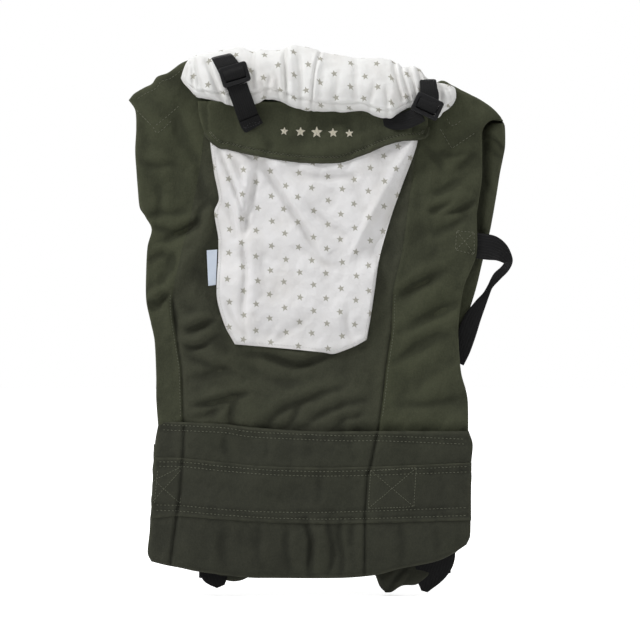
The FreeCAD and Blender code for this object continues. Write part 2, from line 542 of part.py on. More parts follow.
# right: webbing runs to the lower right, folds and returns up as the adjustable tail
w = layer("waist_webbing_right", ccw([(31.9, 55.0), (109.2, -8.4), (119.7, -18.4), (123.9, -16.8), (140.7, 2.7),
                                      (148.0, 16.1), (143.0, 23.1), (65.7, 86.5)]), "waist_web_front", "waist_web_deep")
pad(w, rect(108.0, 146.0, 2.0, 101.0), "Dims.waist_loop_deep", LOOP)
pad(w, rect(112.0, 138.0, 2.0, 6.0), LOOP + " + 0.4", "0.4")
plug_at = FreeCAD.Placement(V(127.0, 30.3, 76.0), NONE)
buckle_plug("waist_buckle_plug", 46, 50, 5.6, 38, plug_at, channel=(-5.2, -3.0))
latch_arm("waist_latch_left", 46, 50, 8.0, -1, plug_at)
latch_arm("waist_latch_right", 46, 50, 8.0, 1, plug_at)

# elastic keeper: a flat band around the webbing tail
b = body("elastic_keeper")
pad(b, rect(105.5, 148.5, 10.0, 20.0), "Dims.keeper_deep")
pocket(b, rect(107.4, 146.6, 1.1, 3.1), 12, 9, "XY_Plane")
fillet(b, along(Z), 0.9)
b.Placement = FreeCAD.Placement(V(0, 24.1, 0), NONE)

# ---------------------------------------------------------------- checks and export
doc.recompute()
for o in doc.Objects:
    if "Invalid" in o.State or "Error" in o.State:
        raise RuntimeError("%s (%s) failed: %s" % (o.Name, o.Label, o.State))
os.makedirs("parts", exist_ok=True)
for b in BODIES:
    s = b.Shape
    if s.isNull() or not s.isValid():
        raise RuntimeError("bad shape: " + b.Label)
    if len(s.Solids) != 1 or s.Volume <= 0:
        raise RuntimeError("%s has %d solids, volume %.1f" % (b.Label, len(s.Solids), s.Volume))
for b in BODIES:
    b.Shape.exportStep("parts/%s.step" % b.Label)
print("nodes written:", len(BODIES))
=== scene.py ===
import math
import bpy
import numpy as np
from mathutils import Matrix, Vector


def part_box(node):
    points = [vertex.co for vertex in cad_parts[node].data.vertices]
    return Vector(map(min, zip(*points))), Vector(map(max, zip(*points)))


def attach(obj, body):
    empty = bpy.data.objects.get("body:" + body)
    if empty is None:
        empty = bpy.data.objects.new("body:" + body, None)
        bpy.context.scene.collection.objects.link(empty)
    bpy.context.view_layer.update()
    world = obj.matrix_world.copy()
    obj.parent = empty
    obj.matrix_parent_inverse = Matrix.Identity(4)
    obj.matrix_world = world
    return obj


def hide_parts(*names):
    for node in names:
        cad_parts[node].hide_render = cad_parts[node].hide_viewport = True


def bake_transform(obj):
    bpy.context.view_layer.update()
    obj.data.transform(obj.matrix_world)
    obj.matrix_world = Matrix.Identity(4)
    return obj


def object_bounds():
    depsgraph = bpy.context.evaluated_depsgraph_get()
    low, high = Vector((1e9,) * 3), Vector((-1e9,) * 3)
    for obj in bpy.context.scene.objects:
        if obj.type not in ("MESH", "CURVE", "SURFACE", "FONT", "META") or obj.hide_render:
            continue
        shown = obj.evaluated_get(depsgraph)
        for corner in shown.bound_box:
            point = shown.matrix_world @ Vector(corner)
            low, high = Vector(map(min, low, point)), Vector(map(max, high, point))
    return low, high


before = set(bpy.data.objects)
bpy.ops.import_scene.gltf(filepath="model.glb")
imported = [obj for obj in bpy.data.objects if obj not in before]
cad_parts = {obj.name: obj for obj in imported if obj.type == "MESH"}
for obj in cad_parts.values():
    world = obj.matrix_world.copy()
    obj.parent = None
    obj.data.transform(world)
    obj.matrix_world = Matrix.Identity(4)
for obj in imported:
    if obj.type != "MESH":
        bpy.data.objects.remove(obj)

CAD_BOX = [list(v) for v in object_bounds()]
MM = 0.001
scene = bpy.context.scene


# ------------------------------------------------------------------ small numeric helpers (all lengths in mm)
def smooth(t):
    t = np.clip(t, 0.0, 1.0)
    return t * t * (3 - 2 * t)


def arr(pts):
    return np.array(pts, float)


def dense(pts, step=1.5):
    """Smooth curve through the points (centripetal style Catmull-Rom), finely sampled."""
    p = arr(pts)
    if len(p) < 3:
        n = max(2, int(np.linalg.norm(p[-1] - p[0]) / step))
        return p[0] + (p[-1] - p[0]) * np.linspace(0, 1, n)[:, None]
    q = np.vstack([2 * p[0] - p[1], p, 2 * p[-1] - p[-2]])
    out = []
    for i in range(1, len(q) - 2):
        a, b, c, d = q[i - 1], q[i], q[i + 1], q[i + 2]
        n = max(2, int(np.linalg.norm(c - b) / step))
        t = np.linspace(0, 1, n, endpoint=False)[:, None]
        m1, m2 = (c - a) * 0.5, (d - b) * 0.5
        lim = np.linalg.norm(c - b)
        for m in (m1, m2):
            k = np.linalg.norm(m)
            if k > lim:
                m *= lim / k
        out.append((2 * t ** 3 - 3 * t ** 2 + 1) * b + (t ** 3 - 2 * t ** 2 + t) * m1 + (-2 * t ** 3 + 3 * t ** 2) * c + (t ** 3 - t ** 2) * m2)
    out.append(p[-1:])
    return np.vstack(out)


def arclen(p):
    return np.concatenate([[0], np.cumsum(np.linalg.norm(np.diff(p, axis=0), axis=1))])


def at(curve, t):
    """Points of a dense curve at arc-length shares t (0..1)."""
    s = arclen(curve)
    s = s / s[-1]
    return np.stack([np.interp(t, s, curve[:, k]) for k in range(curve.shape[1])], -1)


def spacing(length, step, edge):
    """Shares 0..1 along a length, finer near both ends where `edge` mm are rounded."""
    fine = [0.0]
    d = 0.25
    while fine[-1] + d < min(edge, length * 0.3):
        fine.append(fine[-1] + d)
        d = min(d * 1.45, step)
    n = max(2, int(round((length - 2 * fine[-1]) / step)))
    mid = np.linspace(fine[-1], length - fine[-1], n + 1)
    return np.concatenate([fine[:-1], mid, (length - arr(fine[:-1]))[::-1]]) / length


class Waves:
    """Smooth repeatable noise: a fixed sum of sine waves, mean 0, about -1..1."""
    def __init__(self, seed, size, n=14, stretch=(1, 1), turn=0.0):
        r = np.random.RandomState(seed)
        a = r.uniform(0, 2 * math.pi, n)
        k = 2 * math.pi / (size * r.uniform(0.6, 1.9, n))
        c, s = math.cos(turn), math.sin(turn)
        kx, ky = k * np.cos(a) / stretch[0], k * np.sin(a) / stretch[1]
        self.kx, self.ky = kx * c - ky * s, kx * s + ky * c
        self.ph = r.uniform(0, 2 * math.pi, n)
        self.n = n

    def __call__(self, x, z):
        x, z = np.asarray(x, float), np.asarray(z, float)
        out = np.zeros(np.broadcast(x, z).shape)
        for a, b, p in zip(self.kx, self.ky, self.ph):
            out += np.sin(a * x + b * z + p)
        return out / math.sqrt(self.n) * 0.8


def line_dist(x, z, pts):
    """Distance to a polyline, signed side (+ left of its direction) and the share along it."""
    p = arr(pts)
    s = arclen(p)
    best = np.full(np.shape(x), 1e9)
    side = np.zeros(np.shape(x))
    along = np.zeros(np.shape(x))
    for i in range(len(p) - 1):
        a, b = p[i], p[i + 1]
        d = b - a
        L2 = d @ d
        t = np.clip(((x - a[0]) * d[0] + (z - a[1]) * d[1]) / L2, 0, 1)
        ex, ez = x - (a[0] + t * d[0]), z - (a[1] + t * d[1])
        dist = np.hypot(ex, ez)
        m = dist < best
        best = np.where(m, dist, best)
        side = np.where(m, np.sign(d[0] * ez - d[1] * ex), side)
        along = np.where(m, (s[i] + t * math.sqrt(L2)) / s[-1], along)
    return best, side, along


def creases(x, z, items):
    """Sum of folds. Each item: (points, depth, width, bank) - a valley of `depth` with a soft bank on one side
    (bank > 0: left of the direction, < 0: right). Positive result means away from the viewer."""
    x, z = np.broadcast_arrays(np.asarray(x, float), np.asarray(z, float))
    full = np.zeros(x.shape)
    for pts, depth, width, bank in items:
        p, far = arr(pts), 7 * width
        near = (x > p[:, 0].min() - far) & (x < p[:, 0].max() + far) & (z > p[:, 1].min() - far) & (z < p[:, 1].max() + far)
        if not near.any():
            continue
        d, side, t = line_dist(x[near], z[near], dense(pts, 5.0))
        out = np.zeros(d.shape)
        fade = np.sin(np.clip(t, 0.02, 0.98) * math.pi) ** 0.6
        fade = np.where((t <= 0.001) | (t >= 0.999), fade * np.exp(-(d / (width * 1.2)) ** 2), fade)
        sd = d * side
        out += depth * fade * np.exp(-(d / width) ** 2)
        if bank:
            o = math.copysign(width * 2.1, bank)
            out -= abs(bank) * depth * fade * np.exp(-((sd - o) / (width * 1.9)) ** 2)
        full[near] += out
    return full


def channel(x, z, rows, depth, width, rough=None):
    """A narrow dip along each row of sewing."""
    x, z = np.broadcast_arrays(np.asarray(x, float), np.asarray(z, float))
    full = np.zeros(x.shape)
    for row in rows:
        p, far = arr(row), 4 * width
        near = (x > p[:, 0].min() - far) & (x < p[:, 0].max() + far) & (z > p[:, 1].min() - far) & (z < p[:, 1].max() + far)
        if not near.any():
            continue
        d, s, t = line_dist(x[near], z[near], p)
        g = depth * np.exp(-(d / width) ** 2)
        if rough is not None:
            g = g * (1 + 0.25 * rough(x[near] * 1.6, z[near]))
        full[near] += g
    return full


# ------------------------------------------------------------------ mesh building
def make_object(name, verts, faces, uv=None, edge_wear_and_light=None, shade=True, fold=None):
    """verts in mm; uv in mm per loop-vertex (per vertex list); faces as lists or an (n,4) array."""
    me = bpy.data.meshes.new(name)
    v = np.asarray(verts, float) * MM
    f = np.asarray(faces)
    me.vertices.add(len(v))
    me.vertices.foreach_set("co", v.astype(np.float32).ravel())
    k = f.shape[1]
    me.loops.add(f.size)
    me.loops.foreach_set("vertex_index", f.astype(np.int32).ravel())
    me.polygons.add(len(f))
    me.polygons.foreach_set("loop_start", np.arange(0, f.size, k, dtype=np.int32))
    if uv is not None:
        layer = me.uv_layers.new(name="cloth")
        layer.data.foreach_set("uv", np.asarray(uv, float)[f.ravel()].astype(np.float32).ravel())
    if fold is not None:
        a = me.attributes.new("fold", "FLOAT", "POINT")
        a.data.foreach_set("value", np.clip(fold, -1, 1).astype(np.float32))
    if edge_wear_and_light is not None:
        a = me.attributes.new("edge_wear_and_light", "FLOAT", "POINT")
        a.data.foreach_set("value", np.clip(edge_wear_and_light, 0, 1).astype(np.float32))
    me.update()
    me.validate()
    if shade:
        me.polygons.foreach_set("use_smooth", np.ones(len(me.polygons), bool))
    ob = bpy.data.objects.new(name, me)
    scene.collection.objects.link(ob)
    return ob


def give(ob, material):
    ob.data.materials.clear()
    ob.data.materials.append(material)
    return ob


def set_smooth_angle(ob, degrees=40):
    """Splits hard edges so that thin walls shade cleanly."""
    me = ob.data
    me.polygons.foreach_set("use_smooth", np.ones(len(me.polygons), bool))
    try:
        me.set_sharp_from_angle(angle=math.radians(degrees))
    except Exception:
        pass
    return ob


def coons(L, R, B, T, us, vs):
    """Grid of points from four boundary curves. L, R run bottom to top; B, T run left to right."""
    l, r = at(L, vs), at(R, vs)
    b, t = at(B, us), at(T, us)
    u, v = us[:, None, None], vs[None, :, None]
    p = (1 - u) * l[None] + u * r[None] + (1 - v) * b[:, None] + v * t[:, None]
    p -= (1 - u) * (1 - v) * b[0] + u * (1 - v) * b[-1] + (1 - u) * v * t[0] + u * v * t[-1]
    return p


def grid_faces(nu, nv, start=0, flip=False):
    i = np.arange(nu - 1)[:, None] * nv + np.arange(nv - 1)[None]
    a, b, c, d = i, i + nv, i + nv + 1, i + 1
    f = np.stack([a, b, c, d], -1).reshape(-1, 4) + start
    return f[:, ::-1] if flip else f


def round_profile(d, r):
    if r <= 0:
        return np.ones_like(d)
    s = np.clip(d / r, 0, 1)
    return np.sqrt(np.maximum(1 - (1 - s) ** 2, 0))


def relief(h, mm, reach=7.0):
    """How far a height grid stands above (+) or lies below (-) its own surroundings, within about `reach` mm."""
    n = max(1, int(round(reach / mm)))
    out = np.pad(h, n, mode="edge")
    for axis in (0, 1):
        for rep in range(2):
            c = np.cumsum(np.pad(out, [(n + 1, n) if k == axis else (0, 0) for k in (0, 1)], mode="edge"), axis=axis)
            m = c.shape[axis]
            hi = np.take(c, np.arange(2 * n + 1, m), axis=axis)
            lo = np.take(c, np.arange(0, m - 2 * n - 1), axis=axis)
            out = (hi - lo) / (2 * n + 1)
    return h - out[n:-n, n:-n]


def patch(name, L, R, B, T, front, back, mid=0.0, rounds=(5, 5, 5, 5), step=1.8, rim=0.35, back_step=None, uv_turn=0.0):
    """Closed cushion-like solid between two height fields over a four-sided outline.

    front(x, z), back(x, z) give Y in mm; `rounds` are the rolled edge radii on the left, right, bottom and top."""
    L, R, B, T = [dense(c) for c in (L, R, B, T)]
    W = (arclen(B)[-1] + arclen(T)[-1]) / 2
    H = (arclen(L)[-1] + arclen(R)[-1]) / 2
    us = spacing(W, step, max(rounds[0], rounds[1], 1))
    vs = spacing(H, step, max(rounds[2], rounds[3], 1))
    p = coons(L, R, B, T, us, vs)
    x, z = p[..., 0], p[..., 1]
    du, dv = us[:, None] * W, vs[None, :] * H
    prof = (round_profile(du, rounds[0]) * round_profile(W - du, rounds[1])
            * round_profile(dv, rounds[2]) * round_profile(H - dv, rounds[3]))
    prof = np.broadcast_to(prof, x.shape)
    m = mid(x, z) if callable(mid) else np.full(x.shape, float(mid))
    ff, bb = front(x, z), back(x, z)
    yf = m - rim + (ff - (m - rim)) * prof
    yb = m + rim + (bb - (m + rim)) * prof
    # relief of each face; the cloth materials paint shade into its hollows and a highlight onto its ridges
    fold = np.concatenate([relief(-ff, step).ravel(), relief(bb, step).ravel()])
    nu, nv = x.shape
    vf = np.stack([x, yf, z], -1).reshape(-1, 3)
    vb = np.stack([x, yb, z], -1).reshape(-1, 3)
    n = nu * nv
    faces = [grid_faces(nu, nv), grid_faces(nu, nv, n, True)]
    idx = np.arange(n).reshape(nu, nv)
    ring = np.concatenate([idx[:, 0], idx[-1, 1:], idx[-2::-1, -1], idx[0, -2:0:-1]])
    nxt = np.roll(ring, -1)
    faces.append(np.stack([ring, ring + n, nxt + n, nxt], -1))
    # only rolled edges turn paler, partly rub wear and partly a painted highlight; a seam that runs on into the next
    # piece doesn't
    far = [0.0 if r > 0.5 else 60.0 for r in rounds]
    edge = np.minimum(np.minimum(du + far[0], W - du + far[1]) + 0 * dv, np.minimum(dv + far[2], H - dv + far[3]) + 0 * du)
    edge_wear_and_light = np.exp(-(edge / 2.2) ** 1.4)
    uv = np.stack([x, z], -1).reshape(-1, 2)
    ob = make_object(name, np.vstack([vf, vb]), np.vstack(faces), np.vstack([uv, uv]),
                     np.concatenate([edge_wear_and_light.ravel(), edge_wear_and_light.ravel()]), fold=fold)
    return ob


def tube_grid(name, rings, uv=None, edge_wear_and_light=None, cap=True, fold=None):
    """Closed skin over rings of points: array (n rings, m points, 3)."""
    rings = np.asarray(rings, float)
    n, m, _ = rings.shape
    v = rings.reshape(-1, 3)
    i = np.arange(n - 1)[:, None] * m + np.arange(m)[None]
    j = np.arange(n - 1)[:, None] * m + (np.arange(m)[None] + 1) % m
    f = np.stack([i, j, j + m, i + m], -1).reshape(-1, 4)
    faces = [f]
    if cap:
        h = m // 2
        k = np.arange(h - 1)
        for base, flip in ((0, False), ((n - 1) * m, True)):
            # strips across the end ring
            a = base + k
            b = base + k + 1
            c = base + (m - 2 - k) % m
            d = base + (m - 1 - k) % m
            q = np.stack([a, b, c, d], -1)
            q = q[[len(set(r)) == 4 for r in q.tolist()]]
            faces.append(q[:, ::-1] if not flip else q)
    return make_object(name, v, np.vstack(faces), uv, edge_wear_and_light, fold=fold)


def ribbon(name, centre, across, width, thick=1.4, step=2.0, smooth_path=True, segs=10, ends=True):
    """Flat webbing along 3D centre points with an `across` direction at each; closed, with softly rounded edges."""
    c = arr(centre)
    a = arr(across)
    data = np.hstack([c, a, np.broadcast_to(arr(width).reshape(-1, 1), (len(c), 1))])
    if smooth_path:
        s = arclen(c)
        dn = dense(np.hstack([c, a * 12, np.broadcast_to(arr(width).reshape(-1, 1), (len(c), 1)) * 0.6]), step)
        c, a, w = dn[:, :3], dn[:, 3:6] / 12, dn[:, 6] / 0.6
    else:
        s = arclen(c)
        t = np.linspace(0, 1, max(2, int(s[-1] / step)))
        d = at(np.hstack([c, a, data[:, 6:7]]), t) if False else np.stack([np.interp(t * s[-1], s, data[:, k]) for k in range(7)], -1)
        c, a, w = d[:, :3], d[:, 3:6], d[:, 6]
    tan = np.gradient(c, axis=0)
    tan /= np.linalg.norm(tan, axis=1)[:, None]
    a = a - (a * tan).sum(1)[:, None] * tan
    a /= np.linalg.norm(a, axis=1)[:, None]
    nrm = np.cross(tan, a)
    # cross-section: a flat oval band
    xs, ys = [], []
    for k in range(segs + 1):
        q = -1 + 2 * k / segs
        xs.append(math.copysign(abs(q) ** 0.9, q)); ys.append(1.0 if abs(q) < 0.98 else 0.45)
    top = list(zip(xs, ys))
    sec = top + [(q, -r) for q, r in top[::-1]]
    sec = arr(sec)
    rings = (c[:, None] + a[:, None] * (sec[None, :, 0:1] * w[:, None, None] / 2) + nrm[:, None] * (sec[None, :, 1:2] * thick / 2))
    L = arclen(c)
    uv = np.stack([np.broadcast_to(sec[None, :, 0] * w[:, None] / 2, rings.shape[:2]),
                   np.broadcast_to(L[:, None], rings.shape[:2])], -1).reshape(-1, 2)
    edge_wear_and_light = np.broadcast_to(np.abs(sec[None, :, 0]) ** 6, rings.shape[:2]).ravel()
    ob = tube_grid(name, rings, uv, edge_wear_and_light)
    return set_smooth_angle(ob, 50)


# ------------------------------------------------------------------ stitches
_CAPS = None


def _capsule():
    global _CAPS
    if _CAPS is None:
        zs = arr([-0.5, -0.46, -0.3, 0.0, 0.3, 0.46, 0.5])
        rs = arr([0.0001, 0.55, 0.95, 1.05, 0.95, 0.55, 0.0001])
        m = 6
        a = np.arange(m) * 2 * math.pi / m
        ring = np.stack([np.cos(a), np.sin(a)], -1)
        v = np.concatenate([np.stack([np.full(m, z), ring[:, 0] * r, ring[:, 1] * r], -1) for z, r in zip(zs, rs)])
        f = []
        for k in range(len(zs) - 1):
            for i in range(m):
                j = (i + 1) % m
                f.append([k * m + i, k * m + j, (k + 1) * m + j, (k + 1) * m + i])
        _CAPS = (v, np.array(f))
    return _CAPS


class Stitches:
    """Collects thread stitches that follow a surface, and builds them as one mesh."""
    def __init__(self):
        self.c, self.t, self.n, self.l, self.r = [], [], [], [], []

    def run(self, pts3, normal=(0, -1, 0), length=2.7, gap=1.1, r=0.33, lift=0.1, seed=0):
        p = dense(pts3, 0.8) if len(pts3) < 60 else arr(pts3)
        s = arclen(p)
        n = max(1, int(s[-1] / (length + gap)))
        mid = (np.arange(n) + 0.5) * s[-1] / n
        rs = np.random.RandomState(seed + n)
        a = np.stack([np.interp(mid - length / 2, s, p[:, k]) for k in range(3)], -1)
        b = np.stack([np.interp(mid + length / 2, s, p[:, k]) for k in range(3)], -1)
        c = (a + b) / 2
        t = b - a
        ln = np.linalg.norm(t, axis=1)
        t /= np.maximum(ln, 1e-6)[:, None]
        nv = np.broadcast_to(arr(normal), c.shape).copy()
        nv -= (nv * t).sum(1)[:, None] * t
        nv /= np.maximum(np.linalg.norm(nv, axis=1), 1e-6)[:, None]
        side = np.cross(t, nv)
        c = c + nv * lift + side * rs.uniform(-0.10, 0.10, (n, 1))
        t = t + side * rs.uniform(-0.05, 0.05, (n, 1))
        self.c.append(c); self.t.append(t); self.n.append(nv)
        self.l.append(np.full(n, length) * rs.uniform(0.9, 1.05, n)); self.r.append(np.full(n, r))

    def build(self, name):
        c, t, nv = np.vstack(self.c), np.vstack(self.t), np.vstack(self.n)
        l, r = np.concatenate(self.l), np.concatenate(self.r)
        side = np.cross(t, nv)
        v0, f0 = _capsule()
        v = (c[:, None] + t[:, None] * (v0[None, :, 0:1] * l[:, None, None])
             + side[:, None] * (v0[None, :, 1:2] * r[:, None, None]) + nv[:, None] * (v0[None, :, 2:3] * r[:, None, None]))
        # the ends dip into the cloth
        v = v - nv[:, None] * (np.abs(v0[None, :, 0:1]) ** 3 * 2.4 * r[:, None, None])
        f = f0[None] + (np.arange(len(c)) * len(v0))[:, None, None]
        uv = np.stack([np.broadcast_to(v0[None, :, 0] * l[:, None], v.shape[:2]), np.broadcast_to(v0[None, :, 1] * r[:, None], v.shape[:2])], -1).reshape(-1, 2)
        return make_object(name, v.reshape(-1, 3), f.reshape(-1, 4), uv)


def on(surface, pts, lift=0.0):
    """3D points on a height field y = surface(x, z)."""
    p = dense(pts, 1.0) if len(pts) < 200 else arr(pts)
    y = surface(p[:, 0], p[:, 1]) - lift
    return np.stack([p[:, 0], y, p[:, 1]], -1)


def shift(curve, d):
    """Curve moved sideways by d (left of its direction is positive)."""
    c = dense(curve, 2.0)
    t = np.gradient(c, axis=0)
    t /= np.linalg.norm(t, axis=1)[:, None]
    return c + np.stack([-t[:, 1], t[:, 0]], -1) * d


# ------------------------------------------------------------------ materials
def srgb(r, g, b):
    def f(c):
        c /= 255.0
        return c / 12.92 if c <= 0.04045 else ((c + 0.055) / 1.055) ** 2.4
    return (f(r), f(g), f(b), 1.0)


class Nodes:
    def __init__(self, name):
        self.m = bpy.data.materials.new(name)
        self.m.use_nodes = True
        self.t = self.m.node_tree
        self.t.nodes.clear()
        self.out = self.t.nodes.new("ShaderNodeOutputMaterial")
        self.b = self.t.nodes.new("ShaderNodeBsdfPrincipled")
        self.link(self.b.outputs[0], self.out.inputs[0])

    def link(self, a, b):
        self.t.links.new(a, b)

    def put(self, socket, value):
        if hasattr(value, "is_linked") or isinstance(value, bpy.types.NodeSocket):
            self.link(value, socket)
        elif value is not None:
            socket.default_value = value

    def math(self, op, a, b=None, c=None, clamp=False):
        n = self.t.nodes.new("ShaderNodeMath")
        n.operation = op
        n.use_clamp = clamp
        for i, v in enumerate((a, b, c)):
            if v is not None:
                self.put(n.inputs[i], v)
        return n.outputs[0]

    def mix(self, fac, a, b):
        n = self.t.nodes.new("ShaderNodeMix")
        n.data_type = "RGBA"
        self.put(n.inputs["Factor"], fac)
        self.put(n.inputs[6], a)
        self.put(n.inputs[7], b)
        return n.outputs[2]

    def uv(self):
        n = self.t.nodes.new("ShaderNodeUVMap")
        n.uv_map = "cloth"
        s = self.t.nodes.new("ShaderNodeSeparateXYZ")
        self.link(n.outputs[0], s.inputs[0])
        return n.outputs[0], s.outputs[0], s.outputs[1]

    def coord(self):
        n = self.t.nodes.new("ShaderNodeTexCoord")
        return n.outputs["Object"]

    def attr(self, name):
        n = self.t.nodes.new("ShaderNodeAttribute")
        n.attribute_name = name
        return n.outputs["Fac"]

    def noise(self, vec, scale, detail=3.0, rough=0.55):
        n = self.t.nodes.new("ShaderNodeTexNoise")
        self.put(n.inputs["Vector"], vec)
        n.inputs["Scale"].default_value = scale
        n.inputs["Detail"].default_value = detail
        n.inputs["Roughness"].default_value = rough
        return n.outputs[0]

    def stretch(self, vec, sx, sy, sz=1.0, turn=0.0):
        n = self.t.nodes.new("ShaderNodeMapping")
        self.put(n.inputs[0], vec)
        n.inputs["Scale"].default_value = (sx, sy, sz)
        n.inputs["Rotation"].default_value = (0, 0, turn)
        return n.outputs[0]

    def ramp(self, fac, lo, hi):
        n = self.t.nodes.new("ShaderNodeMapRange")
        n.interpolation_type = "SMOOTHSTEP"
        self.put(n.inputs[0], fac)
        n.inputs[1].default_value = lo
        n.inputs[2].default_value = hi
        return n.outputs[0]

    def bump(self, height, distance, strength=1.0, normal=None):
        n = self.t.nodes.new("ShaderNodeBump")
        n.inputs["Strength"].default_value = strength
        n.inputs["Distance"].default_value = distance
        self.put(n.inputs["Height"], height)
        if normal is not None:
            self.link(normal, n.inputs["Normal"])
        return n.outputs[0]


def sine(k, value, pitch):
    return k.math("MULTIPLY_ADD", k.math("SINE", k.math("MULTIPLY", value, 2 * math.pi / pitch)), 0.5, 0.5)


def canvas(name, base, green, worn_and_lit, twill=0.95, bump=0.00011, rough=0.9):
    """Brushed cotton twill: diagonal ribs, uneven yarn, soft colour drift, rolled edges paler from rub wear and a
    painted highlight, painted shade in the hollows and a painted highlight on the ridges.
    """
    k = Nodes(name)
    vec, u, v = k.uv()
    obj = k.coord()
    drift = k.noise(obj, 14.0, 3.0, 0.6)
    patches = k.noise(obj, 4.5, 2.0)
    yarn = k.noise(k.stretch(vec, 1.6, 0.14), 1.0, 2.0)
    yarn2 = k.noise(k.stretch(vec, 0.14, 1.6), 1.0, 2.0)
    wob = k.math("MULTIPLY", k.math("SUBTRACT", k.noise(vec, 0.7, 2.0), 0.5), 0.35)
    rib = sine(k, k.math("ADD", k.math("ADD", u, k.math("MULTIPLY", v, 1.0)), wob), twill * 1.2)
    weft = sine(k, k.math("ADD", u, wob), twill * 0.52)
    fuzz = k.noise(obj, 2600.0, 3.0, 0.7)
    col = k.mix(k.ramp(patches, 0.35, 0.68), base, green)
    dark = k.mix(0.5, base, (0, 0, 0, 1))
    col = k.mix(k.math("MULTIPLY", k.ramp(drift, 0.62, 0.3), 0.28), col, dark)
    speck = k.math("ADD", k.math("MULTIPLY", rib, 0.16), k.math("MULTIPLY", k.math("ADD", yarn, yarn2), 0.22))
    col = k.mix(k.math("MULTIPLY", k.math("SUBTRACT", speck, 0.12), 0.75, clamp=True), col, worn_and_lit)
    grain = k.noise(k.stretch(obj, 1.0, 1.0, 0.8), 620.0, 2.0, 0.7)
    col = k.mix(k.math("MULTIPLY", k.ramp(grain, 0.42, 0.72), 0.12), col, worn_and_lit)
    col = k.mix(k.math("MULTIPLY", k.ramp(grain, 0.55, 0.25), 0.16), col, dark)
    # painted shade darkens the cloth in its hollows and a painted highlight lightens its ridges, both driven by the
    # 'fold' relief of the surface
    fold = k.attr("fold")
    col = k.mix(k.math("MULTIPLY", fold, -0.42, clamp=True), col, dark)
    col = k.mix(k.math("MULTIPLY", fold, 0.14, clamp=True), col, worn_and_lit)
    # rolled edges paler: partly rub wear, partly a painted highlight where the edge catches the light
    edge_wear_and_light = k.math("MULTIPLY", k.attr("edge_wear_and_light"), k.ramp(k.noise(obj, 90.0, 3.0), 0.25, 0.7))
    col = k.mix(k.math("MULTIPLY", edge_wear_and_light, 0.6), col, worn_and_lit)
    k.put(k.b.inputs["Base Color"], col)
    k.put(k.b.inputs["Roughness"], k.math("MULTIPLY_ADD", yarn, 0.14, rough - 0.07))
    k.b.inputs["Specular IOR Level"].default_value = 0.15
    k.b.inputs["Sheen Weight"].default_value = 0.08
    k.b.inputs["Sheen Roughness"].default_value = 0.55
    k.put(k.b.inputs["Sheen Tint"], worn_and_lit)
    hgt = k.math("ADD", k.math("MULTIPLY", rib, 0.8), k.math("ADD", k.math("MULTIPLY", weft, 0.35), k.math("MULTIPLY", k.math("ADD", yarn, yarn2), 0.6)))
    n1 = k.bump(hgt, bump)
    n2 = k.bump(fuzz, bump * 0.9, 0.6, n1)
    puck = k.noise(k.stretch(obj, 1.0, 1.0, 0.75), 55.0, 4.0, 0.62)
    n3 = k.bump(puck, 0.0032, 0.8, n2)
    k.link(n3, k.b.inputs["Normal"])
    return k.m


